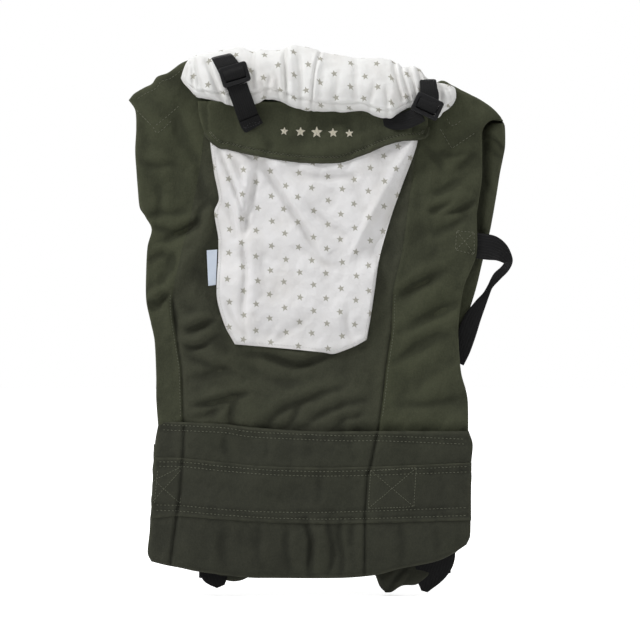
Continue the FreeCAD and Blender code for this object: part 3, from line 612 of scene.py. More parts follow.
def star_fabric(name, pitch=(29.4, 25.6), size=4.0, offset=(0.0, 0.0), lean=0.0, base=srgb(240, 239, 239), ink=srgb(166, 163, 150)):
    """Fine white cotton with a half-drop print of small grey five-pointed stars, drawn in millimetres on the cloth map."""
    k = Nodes(name)
    vec, u, v = k.uv()
    obj = k.coord()
    v = k.math("ADD", v, k.math("MULTIPLY", u, lean))

    def star(du, dv, seed):
        cu = k.math("DIVIDE", k.math("ADD", u, du + offset[0]), pitch[0])
        cv = k.math("DIVIDE", k.math("ADD", v, dv + offset[1]), pitch[1])
        iu, iv = k.math("FLOOR", cu), k.math("FLOOR", cv)
        fu = k.math("MULTIPLY", k.math("SUBTRACT", k.math("SUBTRACT", cu, iu), 0.5), pitch[0])
        fv = k.math("MULTIPLY", k.math("SUBTRACT", k.math("SUBTRACT", cv, iv), 0.5), pitch[1])
        ju = k.math("SINE", k.math("ADD", k.math("MULTIPLY", iu, 41.3), k.math("MULTIPLY", iv, 17.9 + seed)))
        jv = k.math("SINE", k.math("ADD", k.math("MULTIPLY", iu, 23.7), k.math("MULTIPLY", iv, 37.1 + seed)))
        fu = k.math("ADD", fu, k.math("MULTIPLY", ju, 1.3))
        fv = k.math("ADD", fv, k.math("MULTIPLY", jv, 1.1))
        # a little print variation from star to star
        jit = k.math("MULTIPLY", k.math("SINE", k.math("ADD", k.math("MULTIPLY", iu, 12.9898), k.math("MULTIPLY", iv, 78.233 + seed))), 0.30)
        ang = k.math("ADD", k.math("ARCTAN2", fu, fv), jit)
        rad = k.math("SQRT", k.math("ADD", k.math("MULTIPLY", fu, fu), k.math("MULTIPLY", fv, fv)))
        sec = math.radians(72)
        t = k.math("ABSOLUTE", k.math("SUBTRACT", k.math("MODULO", k.math("ADD", ang, sec * 5.5), sec), sec / 2))
        px = k.math("MULTIPLY", rad, k.math("COSINE", t))
        py = k.math("MULTIPLY", rad, k.math("SINE", t))
        R, r = size, size * 0.43
        vx, vy = r * math.cos(sec / 2), r * math.sin(sec / 2)
        nx, ny = vy, -(vx - R)
        ln = math.hypot(nx, ny)
        d = k.math("ADD", k.math("MULTIPLY", px, nx / ln), k.math("MULTIPLY", py, ny / ln))
        d = k.math("SUBTRACT", d, R * nx / ln)
        return k.math("SUBTRACT", 1.0, k.ramp(d, -0.22, 0.16))

    m = k.math("MAXIMUM", star(0, 0, 0.0), star(pitch[0] / 2, pitch[1] / 2, 3.0))
    grain = k.noise(k.stretch(vec, 2.2, 2.2), 1.0, 2.0)
    m = k.math("MULTIPLY", m, k.math("MULTIPLY_ADD", grain, 0.35, 0.72), clamp=True)
    warp = sine(k, u, 0.62)
    weft = sine(k, v, 0.62)
    weave = k.math("MULTIPLY", k.math("ADD", warp, weft), 0.5)
    tone = k.noise(obj, 26.0, 3.0)
    cream = srgb(230, 227, 223)
    col = k.mix(k.math("MULTIPLY", k.ramp(tone, 0.4, 0.75), 0.6), base, cream)
    col = k.mix(k.math("MULTIPLY", weave, 0.10), col, srgb(186, 186, 192))
    col = k.mix(k.math("MULTIPLY", k.attr("edge_wear_and_light"), 0.25), col, srgb(205, 202, 196))
    # painted shade: the cloth turns greyer in the hollows of its folds
    col = k.mix(k.math("MULTIPLY", k.attr("fold"), -0.15, clamp=True), col, srgb(168, 165, 158))
    col = k.mix(m, col, ink)
    k.put(k.b.inputs["Base Color"], col)
    k.b.inputs["Roughness"].default_value = 0.82
    k.b.inputs["Specular IOR Level"].default_value = 0.25
    k.b.inputs["Sheen Weight"].default_value = 0.12
    k.b.inputs["Subsurface Weight"].default_value = 0.0
    slub = k.noise(k.stretch(vec, 0.9, 0.1), 1.0, 2.0)
    n1 = k.bump(k.math("ADD", weave, k.math("MULTIPLY", slub, 0.7)), 0.00007)
    n2 = k.bump(k.noise(obj, 62.0, 4.0, 0.6), 0.0026, 0.75, n1)
    k.link(n2, k.b.inputs["Normal"])
    return k.m


def webbing_material(name, rib=2.9, base=srgb(7, 7, 8), light=srgb(24, 24, 25)):
    """Woven nylon webbing: lengthwise ribs, small herringbone, paler fuzzy selvedge."""
    k = Nodes(name)
    vec, u, v = k.uv()
    obj = k.coord()
    ribs = sine(k, u, rib)
    herr = sine(k, k.math("ADD", v, k.math("MULTIPLY", k.math("ABSOLUTE", k.math("SUBTRACT", k.math("FRACT", k.math("DIVIDE", u, rib)), 0.5)), 3.2)), 1.15)
    fine = sine(k, u, 0.58)
    dirt = k.noise(obj, 120.0, 4.0, 0.65)
    h = k.math("ADD", k.math("MULTIPLY", ribs, 0.55), k.math("ADD", k.math("MULTIPLY", herr, 0.45), k.math("MULTIPLY", fine, 0.25)))
    col = k.mix(k.math("MULTIPLY", h, 0.55, clamp=True), base, light)
    col = k.mix(k.math("MULTIPLY", k.ramp(dirt, 0.55, 0.8), 0.18), col, srgb(32, 31, 30))
    col = k.mix(k.math("MULTIPLY", k.attr("edge_wear_and_light"), 0.35), col, light)
    k.put(k.b.inputs["Base Color"], col)
    k.put(k.b.inputs["Roughness"], k.math("MULTIPLY_ADD", h, -0.12, 0.62))
    k.b.inputs["Specular IOR Level"].default_value = 0.22
    k.b.inputs["Sheen Weight"].default_value = 0.0
    n1 = k.bump(h, 0.00028, 0.9)
    n2 = k.bump(k.noise(obj, 2200.0, 2.0), 0.00006, 0.6, n1)
    k.link(n2, k.b.inputs["Normal"])
    return k.m


def plastic(name, base=srgb(14, 14, 16)):
    """Moulded acetal: fine spark texture, uneven gloss, scuffed paler edges."""
    k = Nodes(name)
    obj = k.coord()
    geo = k.t.nodes.new("ShaderNodeNewGeometry")
    edge = k.ramp(geo.outputs["Pointiness"], 0.515, 0.60)
    grain = k.noise(obj, 1900.0, 2.0, 0.6)
    blot = k.noise(obj, 160.0, 4.0, 0.6)
    scuff = k.noise(k.stretch(obj, 1.0, 6.0, 0.6), 420.0, 5.0, 0.7)
    col = k.mix(k.math("MULTIPLY", k.ramp(blot, 0.4, 0.7), 0.4), base, srgb(24, 24, 26))
    col = k.mix(k.math("MULTIPLY", edge, k.ramp(scuff, 0.35, 0.65)), col, srgb(52, 52, 56))
    k.put(k.b.inputs["Base Color"], col)
    k.put(k.b.inputs["Roughness"], k.math("MULTIPLY_ADD", blot, 0.22, 0.34))
    k.b.inputs["Specular IOR Level"].default_value = 0.38
    n1 = k.bump(grain, 0.00005, 0.7)
    n2 = k.bump(scuff, 0.00004, 0.5, n1)
    k.link(n2, k.b.inputs["Normal"])
    return k.m


def thread(name, base, light):
    k = Nodes(name)
    vec, u, v = k.uv()
    ply = sine(k, k.math("ADD", u, k.math("MULTIPLY", v, 2.0)), 0.55)
    obj = k.coord()
    col = k.mix(k.math("MULTIPLY", ply, 0.5), base, light)
    col = k.mix(k.math("MULTIPLY", k.ramp(k.noise(obj, 30.0, 2.0), 0.35, 0.7), 0.5), col, base)
    k.put(k.b.inputs["Base Color"], col)
    k.b.inputs["Roughness"].default_value = 0.6
    k.b.inputs["Sheen Weight"].default_value = 0.2
    k.link(k.bump(ply, 0.00008), k.b.inputs["Normal"])
    return k.m


def satin(name):
    k = Nodes(name)
    vec, u, v = k.uv()
    obj = k.coord()
    fine = sine(k, v, 0.4)
    col = k.mix(k.math("MULTIPLY", fine, 0.25), srgb(214, 224, 238), srgb(186, 198, 216))
    col = k.mix(k.math("MULTIPLY", k.ramp(k.noise(obj, 150.0, 3.0), 0.5, 0.8), 0.3), col, srgb(230, 233, 238))
    k.put(k.b.inputs["Base Color"], col)
    k.put(k.b.inputs["Roughness"], k.math("MULTIPLY_ADD", fine, 0.1, 0.38))
    k.b.inputs["Sheen Weight"].default_value = 0.3
    k.link(k.bump(fine, 0.00004), k.b.inputs["Normal"])
    return k.m


OLIVE = canvas("olive_canvas", srgb(60, 62, 50), srgb(63, 66, 50), srgb(92, 95, 74))
OLIVE_MID = canvas("olive_canvas_mid", srgb(57, 58, 49), srgb(60, 62, 49), srgb(88, 90, 73))
OLIVE_DARK = canvas("olive_canvas_dark", srgb(52, 53, 46), srgb(54, 56, 46), srgb(81, 82, 68))
LINING = canvas("lining_canvas", srgb(56, 57, 47), srgb(59, 61, 48), srgb(86, 87, 71), twill=0.8, bump=0.00008)
PIPING = canvas("olive_piping", srgb(58, 59, 49), srgb(62, 64, 51), srgb(92, 94, 76), twill=0.8)
STAR = star_fabric("star_cotton", lean=0.085)
STAR_ROLL = star_fabric("star_cotton_roll", offset=(6.0, 4.0), base=srgb(247, 247, 245))
WEB = webbing_material("black_webbing")
WEB_FINE = webbing_material("black_webbing_fine", rib=2.2)
ELASTIC = webbing_material("black_elastic", rib=1.4, base=srgb(26, 26, 28), light=srgb(58, 58, 62))
PLASTIC = plastic("black_plastic")
THREAD = thread("olive_thread", srgb(94, 96, 77), srgb(120, 122, 99))
THREAD_BLACK = thread("black_thread", srgb(24, 24, 26), srgb(48, 48, 52))
THREAD_WHITE = thread("white_thread", srgb(214, 213, 212), srgb(236, 235, 233))
CREAM = thread("cream_thread", srgb(216, 210, 190), srgb(240, 236, 222))
SATIN = satin("satin_label")


# ------------------------------------------------------------------ outlines (mm)
SEAM_L = [(-136.0, 148.0), (-136.2, 161.3), (-138.0, 219.5), (-143.0, 252.0), (-147.2, 291.9), (-140.0, 331.8), (-129.5, 375.9), (-119.0, 428.4), (-113.9, 470.4), (-113.5, 514.5)]
SEAM_R = [(68.2, 146.0), (68.6, 157.0), (72.7, 186.9), (76.9, 223.7), (82.1, 260.4), (84.2, 302.4), (93.7, 344.4), (102.1, 407.4), (112.6, 470.4), (121.0, 512.4)]
EDGE_L = [(-162.2, 152.0), (-164.8, 188.0), (-164.8, 212.1), (-166.5, 248.9), (-170.5, 268.3), (-175.3, 291.9), (-175.3, 324.4), (-173.8, 348.6), (-169.6, 366.5)]
EDGE_L2 = [(-169.6, 366.5), (-176.5, 380.0), (-182.7, 396.9), (-185.8, 430.5), (-186.9, 449.4), (-185.8, 472.5), (-186.9, 491.4), (-193.7, 501.9)]
TOP_L = [(-193.7, 501.9), (-188.0, 508.7), (-176.4, 515.6), (-169.1, 519.2), (-163.8, 526.6), (-152.2, 530.8), (-136.5, 541.8), (-117.6, 547.1)]
EDGE_R = [(163.2, 146.0), (162.4, 189.0), (155.6, 216.3), (152.7, 255.2), (153.7, 274.6), (158.6, 305.6), (164.8, 321.3), (172.2, 341.2), (172.2, 381.2), (174.3, 396.9), (177.5, 420.0), (177.8, 452.6), (178.4, 470.4), (186.7, 480.3), (200.0, 480.2)]
TOP_R = [(121.3, 512.4), (135.5, 521.9), (147.0, 516.6), (164.8, 508.2), (180.6, 498.8), (192.2, 489.3), (200.0, 480.2)]


# ------------------------------------------------------------------ surfaces of the cloth (Y of the outer face, mm)
w_big = Waves(3, 120, 12)
w_mid = Waves(7, 46, 14)
w_small = Waves(11, 16, 16)
w_diag_l = Waves(21, 34, 14, stretch=(3.2, 1.0), turn=math.radians(-38))
w_diag_r = Waves(22, 34, 14, stretch=(3.2, 1.0), turn=math.radians(35))
w_vert = Waves(31, 22, 14, stretch=(1.0, 5.0))
w_roll = Waves(41, 30, 14)

PANEL_CREASES = [
    ([(-160.7, 351.8), (-148.1, 357.0), (-131.2, 366.4), (-115.5, 378.0)], 3.4, 5.0, -0.7),
    ([(-181.7, 435.8), (-164.8, 432.6), (-141.8, 434.7)], 1.3, 4.0, 0.5),
    ([(-137.6, 255.2), (-125.0, 259.4), (-108.2, 268.8)], 2.2, 4.5, 0.6),
    ([(-135.5, 239.4), (-118.7, 243.6), (-95.5, 254.1)], 1.6, 4.0, 0.5),
    ([(-129.2, 181.7), (-101.9, 185.8), (-70.4, 196.3)], 1.6, 5.0, 0.5),
    ([(-133.3, 210.0), (-113.4, 212.1), (-85.0, 222.6)], 1.2, 5.0, 0.4),
    ([(150.2, 395.9), (137.6, 390.6), (120.8, 382.2)], 2.6, 4.5, 0.6),
    ([(164.8, 381.2), (146.0, 369.6), (122.9, 359.1)], 1.4, 5.0, 0.5),
    ([(140.7, 325.5), (117.6, 310.8), (89.2, 295.1)], 2.0, 6.0, 0.6),
    ([(139.7, 257.2), (112.4, 241.5), (81.9, 225.8)], 1.8, 6.0, 0.5),
    ([(146.0, 285.6), (117.6, 268.8), (86.1, 255.2)], 1.3, 6.0, 0.4),
    ([(156.5, 189.0), (122.9, 182.7), (87.2, 181.7)], 1.2, 5.0, 0.4),
    ([(129.2, 449.4), (146.0, 443.1), (169.1, 449.4)], 1.2, 4.0, 0.4),
    ([(-86.1, 155.4), (-86.1, 172.2), (-80.9, 189.0)], 1.6, 3.6, 0.4),
    ([(-160.7, 304.5), (-154.3, 317.1), (-148.1, 331.8), (-147.0, 346.5)], 2.4, 5.5, -0.9),
    ([(-178.5, 289.8), (-169.1, 285.6), (-157.5, 287.7)], 2.6, 4.2, 0.8),
    ([(-148.1, 291.9), (-144.9, 273.0), (-141.8, 254.1)], 2.2, 3.6, -0.6),
    ([(-139.7, 260.4), (-122.9, 264.6), (-104.0, 270.9)], 1.6, 3.0, 0.8),
    ([(-137.6, 245.7), (-127.1, 242.6), (-112.4, 245.7)], 1.6, 2.8, 0.8),
    ([(-135.5, 233.1), (-112.4, 224.7), (-80.9, 214.2)], 1.2, 4.0, 0.6),
    ([(-129.2, 178.5), (-101.9, 184.8), (-62.0, 195.3)], 1.6, 3.2, 0.8),
    ([(-76.7, 236.2), (-47.2, 233.1), (-17.9, 224.7), (-1.1, 228.9), (17.9, 238.4)], 2.0, 4.2, 0.8),
    ([(-180.6, 380.1), (-158.6, 382.2), (-129.2, 384.3)], 1.3, 5.0, 0.6),
    ([(-171.2, 369.6), (-141.8, 363.3), (-118.7, 373.8)], 1.6, 4.2, 0.7),
    ([(-122.9, 449.4), (-118.7, 422.1), (-114.5, 396.9)], 1.2, 5.0, 0.4),
    ([(-163.8, 411.6), (-160.7, 392.7), (-163.8, 375.9)], 1.2, 4.4, 0.4),
    ([(132.3, 379.1), (152.2, 386.4), (173.2, 395.9)], 2.0, 3.6, 0.8),
    ([(150.2, 428.4), (160.7, 436.8), (172.2, 447.3)], 1.4, 4.0, 0.6),
    ([(89.2, 291.9), (106.1, 306.6), (129.2, 317.1)], 1.4, 5.0, 0.6),
    ([(96.6, 237.3), (112.4, 249.9), (137.6, 260.4)], 1.3, 5.0, 0.6),
    ([(-53.6, 237.3), (-32.6, 226.8), (-9.5, 224.7), (24.2, 237.3)], 1.9, 5.0, 0.7),
    ([(-76.7, 226.8), (-45.1, 210.0), (-7.4, 203.7)], 0.9, 7.0, 0.5),
    ([(-51.5, 157.5), (-32.6, 176.4), (-1.1, 189.0), (34.6, 201.6)], 2.0, 4.6, 0.8),
    ([(-13.7, 157.5), (5.2, 170.1), (34.6, 182.7), (59.9, 186.9)], 1.6, 4.6, 0.6),
    ([(-28.4, 155.4), (-17.9, 172.2), (-13.7, 189.0)], 1.2, 3.6, 0.5),
    ([(17.9, 153.3), (30.5, 165.9), (55.7, 172.2)], 1.2, 4.0, 0.5),
    ([(-131.2, 165.9), (-108.2, 172.2), (-85.0, 184.8)], 1.2, 4.0, 0.5),
    ([(-174.3, 290.9), (-162.8, 291.9), (-149.1, 300.3)], 2.6, 3.4, 0.9),
    ([(-173.2, 331.8), (-162.8, 338.1), (-150.2, 342.3)], 1.2, 4.0, 0.5),
    ([(-110.2, 394.8), (-118.7, 382.2), (-120.8, 363.3)], 1.8, 4.0, 0.6),
    ([(156.5, 417.9), (139.7, 407.4), (122.9, 401.1)], 1.4, 5.0, 0.5),
    ([(164.8, 291.9), (133.3, 279.3), (101.9, 268.8)], 1.4, 6.0, 0.5),
    ([(116.6, 453.6), (129.2, 441.0), (137.6, 422.1)], 1.2, 5.0, 0.5),
    ([(-110.2, 396.9), (-115.5, 354.9), (-134.4, 331.8), (-148.1, 300.3)], -1.6, 7.0, 0.0),
    ([(107.1, 438.9), (96.6, 360.2), (88.2, 323.4), (78.8, 291.9)], -1.2, 7.0, 0.0),
    ([(-148.1, 331.8), (-152.2, 312.9), (-149.1, 291.9)], -1.8, 5.0, 0.4),
    ([(-171.2, 483.0), (-160.7, 449.4), (-154.3, 412.7)], -1.2, 9.0, 0.0),
    ([(-143.8, 510.3), (-139.7, 470.4), (-122.9, 430.5)], 1.6, 8.0, 0.4),
    ([(137.6, 483.0), (139.7, 449.4), (133.3, 407.4)], 1.0, 8.0, 0.3),
]


def soft_edge(x, z):
    return 0.0


def F_panel(x, z):
    y = -8.4 - 1.6 * np.sin(np.clip((x + 190) / 385, 0, 1) * math.pi)
    y = y - 2.0 * w_big(x, z) - 1.0 * w_mid(x, z) - 0.30 * w_small(x, z)
    left = smooth((-60 - x) / 60)
    right = smooth((x - 60) / 60)
    y = y - 1.7 * left * w_diag_l(x, z) - 1.6 * right * w_diag_r(x, z)
    # padded zones on the shoulders
    y = y - 2.0 * left * smooth((z - 380) / 60) - 1.6 * right * smooth((z - 380) / 60)
    y = y + 1.9 * creases(x, z, PANEL_CREASES)
    # the panel gathers into the belt seam
    low = smooth((205 - z) / 40)
    y = y + 0.6 * low * w_vert(x, z) * smooth((150 - abs(x + 20)) / 40)
    # the two long seams sink into the cloth low down and fade out towards the shoulders
    fade_l, fade_r = smooth((318 - z) / 50), 0.25 + 0.75 * smooth((330 - z) / 90)
    y = y + fade_l * channel(x, z, [SEAM_L], 2.6, 1.6) + fade_r * channel(x, z, [SEAM_R], 2.4, 1.5)
    y = y + 3.2 * smooth((166 - z) / 12)
    return y


def back_plain(x, z):
    return -3.6 + 0 * x


BELT_CREASES = [
    ([(-8.4, 64.0), (-4.2, 50.4), (-1.1, 34.6), (-5.2, 4.2)], 2.6, 3.2, 0.7),
    ([(13.7, 62.0), (17.9, 45.1), (21.0, 23.1), (14.7, 2.1)], 1.8, 3.2, -0.6),
    ([(29.4, 62.0), (27.3, 45.1), (31.5, 18.9), (29.4, 2.1)], 1.6, 3.4, 0.5),
    ([(41.0, 60.9), (38.9, 34.6), (43.1, 8.4)], 0.9, 4.0, 0.4),
    ([(5.2, 111.3), (7.4, 94.5), (5.2, 75.6)], 0.7, 4.0, 0.3),
    ([(-26.2, 60.9), (-28.4, 34.6), (-24.2, 4.2)], 1.0, 4.0, 0.3),
    ([(-53.6, 60.9), (-57.8, 34.6), (-53.6, 4.2)], 0.8, 4.0, 0.3),
    ([(-92.4, 58.8), (-96.6, 34.6), (-91.4, 8.4)], 0.7, 5.0, 0.3),
    ([(89.2, 60.9), (94.5, 39.9), (91.4, 12.6)], 0.9, 5.0, 0.3),
    ([(125.0, 60.9), (130.2, 39.9), (127.1, 18.9)], 0.9, 5.0, 0.3),
    ([(-91.4, 153.3), (-93.5, 139.7), (-90.3, 126.0)], 0.8, 3.5, 0.3),
    ([(-49.4, 151.2), (-47.2, 136.5), (-50.4, 123.9)], 0.8, 3.5, 0.3),
    ([(41.0, 149.1), (38.9, 136.5), (43.1, 123.9)], 0.8, 3.5, 0.3),
]

BELT_ROWS = [
    [(-162.2, 161.2), (-93.8, 158.0), (-65.6, 153.8), (28.4, 149.6), (68.2, 149.6), (162.2, 146.0)],
    [(-162.2, 155.9), (-93.8, 153.0), (-65.6, 148.6), (28.4, 144.4), (68.2, 144.4), (163.3, 140.7)],
]
BAND_ROWS = [
    [(-165.9, 122.2), (-135.9, 122.0), (-93.8, 117.6), (-37.8, 113.4), (28.4, 112.4), (165.9, 117.6)],
    [(-165.9, 117.6), (-135.9, 117.3), (-93.8, 112.9), (-37.8, 108.7), (28.4, 107.6), (165.9, 111.8)],
    [(-169.1, 77.2), (-142.3, 76.7), (-93.8, 72.5), (-37.8, 69.8), (28.4, 69.9), (164.8, 74.5)],
    [(-169.1, 71.6), (-142.3, 70.9), (-93.8, 66.7), (-37.8, 63.5), (28.4, 62.5), (164.8, 66.2)],
]


def F_belt(x, z):
    y = -12.6 - 1.4 * np.sin(np.clip((x + 172) / 338, 0, 1) * math.pi)
    y = y - 1.1 * w_big(x + 40, z) - 0.8 * w_mid(x, z + 70) - 0.26 * w_small(x, z)
    y = y + 1.7 * creases(x, z, BELT_CREASES)
    low = smooth((66 - z) / 20)
    y = y + 0.9 * low * w_vert(x, z) * (0.2 + 0.8 * smooth((x + 25) / 25) * smooth((72 - x) / 15)) + 0.22 * smooth((z - 118) / 8) * w_vert(x * 1.4, z)
    # each stitched row pulls the padding down into a shallow channel
    y = y + channel(x, z, BELT_ROWS + BAND_ROWS, 0.95, 2.6, w_small)
    y = y + channel(x, z, ([(-135.2, 158.6), (-136.5, 126.4), (-139.4, 88.2), (-142.3, 70.4), (-149.9, 12.6)], [(67.8, 153.3), (60.9, 119.7), (57.2, 108.2), (54.6, 66.2), (53.8, 3.2)]), 3.6, 1.5)
    return y


def F_band(x, z):
    return F_belt(x, z) - 1.7


# the pocket
FOLD_R = [(102.9, 462.0), (101.5, 452.9), (90.3, 433.7), (78.0, 412.7), (65.1, 388.5), (52.9, 364.4), (42.0, 342.3), (32.9, 322.4)]
FOLD_L = [(-107.1, 461.0), (-101.9, 438.9), (-91.4, 412.7), (-78.8, 381.2), (-73.5, 354.9)]
POUCH_CREASES = [
    ([(-55.7, 443.1), (-43.1, 420.0), (-26.2, 392.7), (-7.4, 363.3), (9.5, 336.0)], 3.8, 4.6, 0.9),
    ([(-59.9, 428.4), (-63.0, 407.4), (-68.2, 384.3), (-72.5, 357.0)], 3.4, 3.8, -0.9),
    ([(-45.1, 433.7), (-24.2, 407.4), (5.2, 378.0), (38.9, 357.0)], 1.6, 5.0, 0.6),
    ([(-98.7, 449.4), (-87.2, 422.1), (-76.7, 394.8), (-70.4, 369.6)], 2.8, 2.6, 0.9),
    ([(-90.3, 449.4), (-76.7, 426.3), (-69.3, 396.9)], 1.6, 3.4, 0.6),
    ([(-15.8, 423.2), (12.6, 420.0), (51.5, 421.1)], 1.6, 4.0, 0.6),
    ([(-73.5, 357.0), (-70.4, 318.2), (-73.5, 281.4), (-69.3, 254.1)], 2.4, 3.8, 0.8),
    ([(-13.7, 347.6), (9.5, 331.8), (33.6, 325.5)], 1.2, 5.0, 0.5),
    ([(-92.4, 291.9), (-80.9, 268.8), (-66.2, 246.8)], 1.4, 4.0, 0.5),
    ([(-39.9, 244.7), (-24.2, 260.4), (-3.2, 273.0)], 0.9, 5.0, 0.4),
    ([(42.0, 244.7), (34.6, 265.7), (36.8, 291.9)], 1.2, 4.5, 0.5),
    ([(-97.7, 396.9), (-85.0, 380.1), (-78.8, 354.9)], 1.8, 4.0, -0.5),
    ([(28.4, 449.4), (45.1, 407.4), (55.7, 370.7)], 1.2, 7.0, 0.4),
    ([(-85.0, 451.5), (-66.2, 443.1), (-47.2, 422.1)], 1.4, 4.0, 0.5),
]


def F_pouch(x, z):
    base = F_panel(x, z) * 0.55 - 0.45 * 9.6
    lift = 6.0 + 5.5 * smooth((z - 236) / 60) + 2.2 * smooth((z - 430) / 45)
    # beyond the right-hand fold the side of the bag turns back to the panel
    d, side, t = line_dist(x, z, dense(FOLD_R, 6))
    inside = smooth((z - 318) / 30)
    away = np.where(side > 0, d, 0.0) * inside
    away = np.where((x > -20), away, 0.0)
    dl, sl, tl = line_dist(x, z, dense(FOLD_L, 6))
    away_l = np.where(sl < 0, dl, 0.0) * inside * (x < -20)
    near = np.exp(-(d / 5.0) ** 2) * inside * (x > -20) + np.exp(-(dl / 4.5) ** 2) * inside * (x < -20) * 0.7
    depth = lift - 0.52 * away - 0.34 * away_l + 1.6 * near
    depth = np.maximum(depth, 2.0 + 0 * x)
    y = base - depth
    y = y - 1.3 * w_mid(x + 80, z) - 0.34 * w_small(x, z + 40) - 1.2 * w_big(x, z + 90)
    return y + 1.9 * creases(x, z, POUCH_CREASES)


FL_B = [(-97.7, 451.7), (-89.9, 450.6), (-76.7, 447.3), (-56.0, 442.8), (-34.6, 439.4), (-5.7, 436.2), (24.5, 436.2), (36.2, 438.7), (56.7, 446.2), (78.0, 455.2), (93.5, 458.9), (110.2, 460.3)]
FL_HEM = shift(dense(FL_B, 2.0), 4.9)[1:-1]


def F_flap(x, z):
    under = np.minimum(F_pouch(x, np.minimum(z, 470.0)), F_panel(x, z) - 3.0)
    side = smooth((abs(x - 2) - 96) / 16)
    y = (-25.0 - 2.2 * w_mid(x, z * 0.6) - 1.0 * w_big(x + 20, z) - 0.3 * w_small(x, z)) * (1 - side) + (F_panel(x, z) - 9.0) * side
    y = y + 5.5 * smooth((z - 462) / 30)
    y = y - 2.0 * np.exp(-((z - 449 - 10 * abs(x / 110) ** 2) / 9) ** 2)
    y = y + creases(x, z, [
        ([(-106.1, 483.0), (-95.5, 470.4), (-76.7, 457.8)], 1.4, 4.5, 0.5),
        ([(-53.6, 483.0), (-45.1, 468.3), (-49.4, 449.4)], 1.2, 5.0, 0.5),
        ([(-13.7, 483.0), (17.9, 478.8), (62.0, 470.4)], 1.0, 5.0, 0.4),
        ([(41.0, 445.2), (62.0, 457.8), (87.2, 466.2)], 1.4, 5.0, 0.5),
        ([(78.8, 483.0), (87.2, 470.4), (95.5, 459.9)], 0.9, 4.5, 0.4),
    ])
    return np.minimum(y, under - 2.2) + channel(x, z, [FL_HEM], 1.5, 1.1)


pieces = []
BY = {}


def add(ob, material, body=None, replace=(), bend=None):
    give(ob, material)
    if bend:
        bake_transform(ob)
    elif body:
        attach(ob, body)
    if replace:
        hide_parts(*replace)
    pieces.append(ob)
    BY[ob.name] = ob
    return ob


# ------------------------------------------------------------------ panel, outer layer
add(patch("panel_centre_cloth", SEAM_L, SEAM_R, [(-136.0, 148.0), (-66.2, 147.0), (-3.2, 146.0), (68.2, 146.0)], [(-113.5, 514.5), (121.0, 512.4)],
          F_panel, back_plain, mid=-5.6, rounds=(0, 0, 1, 2), step=2.0), OLIVE_MID, "main", ["centre_panel"])
add(patch("panel_side_left_cloth", EDGE_L + EDGE_L2[1:], SEAM_L[:-1] + [(-113.9, 514.5), (-117.6, 547.1)], [(-162.2, 152.0), (-136.0, 148.0)], TOP_L,
          F_panel, back_plain, mid=-4.0, rounds=(7, 0, 1, 6), step=2.0), OLIVE, "main", ["side_panel_left"])
add(patch("panel_side_right_cloth", SEAM_R, EDGE_R, [(68.2, 146.0), (163.2, 146.0)], TOP_R,
          F_panel, back_plain, mid=-4.0, rounds=(0, 4.5, 1, 6), step=2.0), OLIVE, "main", ["side_panel_right"])


# ------------------------------------------------------------------ panel, inner layer and padding
w_back = Waves(51, 70, 12)


def B_lining(x, z):
    y = 5.4 + 1.6 * np.sin(np.clip((x + 190) / 385, 0, 1) * math.pi) * smooth((z - 165) / 40)
    y = y + 0.9 * w_back(x, z) + 0.7 * w_mid(x + 33, z) + 0.3 * w_small(x + 10, z)
    y = y - 0.8 * creases(x, z, [
        ([(-60, 470), (-30, 440), (20, 425), (70, 440)], 1.6, 6.0, 0.5),
        ([(-85, 400), (-40, 380), (0, 384)], 1.6, 6.0, 0.6),
        ([(90, 410), (50, 380), (10, 372)], 1.6, 6.0, 0.6),
        ([(-110, 300), (-50, 286), (20, 300), (90, 286)], 1.8, 6.5, 0.6),
        ([(-100, 222), (-60, 240), (-10, 236)], 1.6, 5.0, 0.6),
        ([(-30, 168), (-24, 196), (-34, 226)], 1.4, 4.5, 0.5),
        ([(24, 166), (30, 190), (22, 214)], 1.4, 4.5, 0.5),
        ([(70, 168), (66, 196), (78, 220)], 1.4, 4.5, 0.5),
        ([(-80, 168), (-88, 190), (-76, 206)], 1.2, 4.5, 0.5),
    ])
    return y - channel(x, z, LINING_ROWS, 1.3, 2.8)


LINING_ROWS = [
    [(-120, 180), (-128, 260), (-130, 320), (-118, 390), (-100, 450), (-92, 486)],
    [(118, 178), (112, 260), (114, 320), (120, 390), (112, 450), (98, 484)],
    [(-92, 486), (0, 492), (98, 484)],
    [(-120, 180), (0, 176), (118, 178)],
]
lin_bottom = [(-162.2, 152.0), (-66.2, 149.0), (-3.2, 146.0), (163.2, 146.0)]
lin_top = TOP_L + [(-60, 516.5), (40, 515), (121.3, 514.0)] + TOP_R[1:]
add(patch("panel_lining_cloth", EDGE_L + EDGE_L2[1:], EDGE_R, lin_bottom, lin_top,
          lambda x, z: -3.4 + 0 * x, B_lining, mid=0.5, rounds=(5, 5, 1, 4), step=2.6), LINING, "main", ["panel_lining", "panel_foam"])

# ------------------------------------------------------------------ belt
BELT_L = [(-169.7, 17.4), (-173.5, 25.2), (-173.2, 35.1), (-170.3, 60.4), (-168.5, 88.5), (-167.6, 119.7), (-165.5, 144.9), (-161.7, 164.8)]
BELT_R = [(161.3, 35.1), (165.2, 45.1), (165.6, 86.1), (166.2, 119.7), (167.7, 140.7), (163.5, 154.3)]
BELT_B = [(-169.7, 17.4), (-155.4, 13.7), (-138.6, 10.5), (-121.8, 6.9), (-68.2, 0.5), (-43.1, 0.0), (28.4, 0.0), (66.2, 3.2), (91.8, 9.8), (127.1, 16.8), (143.8, 23.7), (161.3, 35.1)]
BELT_T = [(-161.7, 164.8), (-93.7, 161.9), (-66.2, 158.6), (-3.2, 154.3), (68.2, 154.3), (163.5, 154.3)]
add(patch("belt_cloth", BELT_L, BELT_R, BELT_B, BELT_T, F_belt, lambda x, z: -5.8 + 0 * x, mid=-7.0, rounds=(6, 6, 7, 2.2), step=1.9),
    OLIVE_DARK, "main", ["belt_cover"])
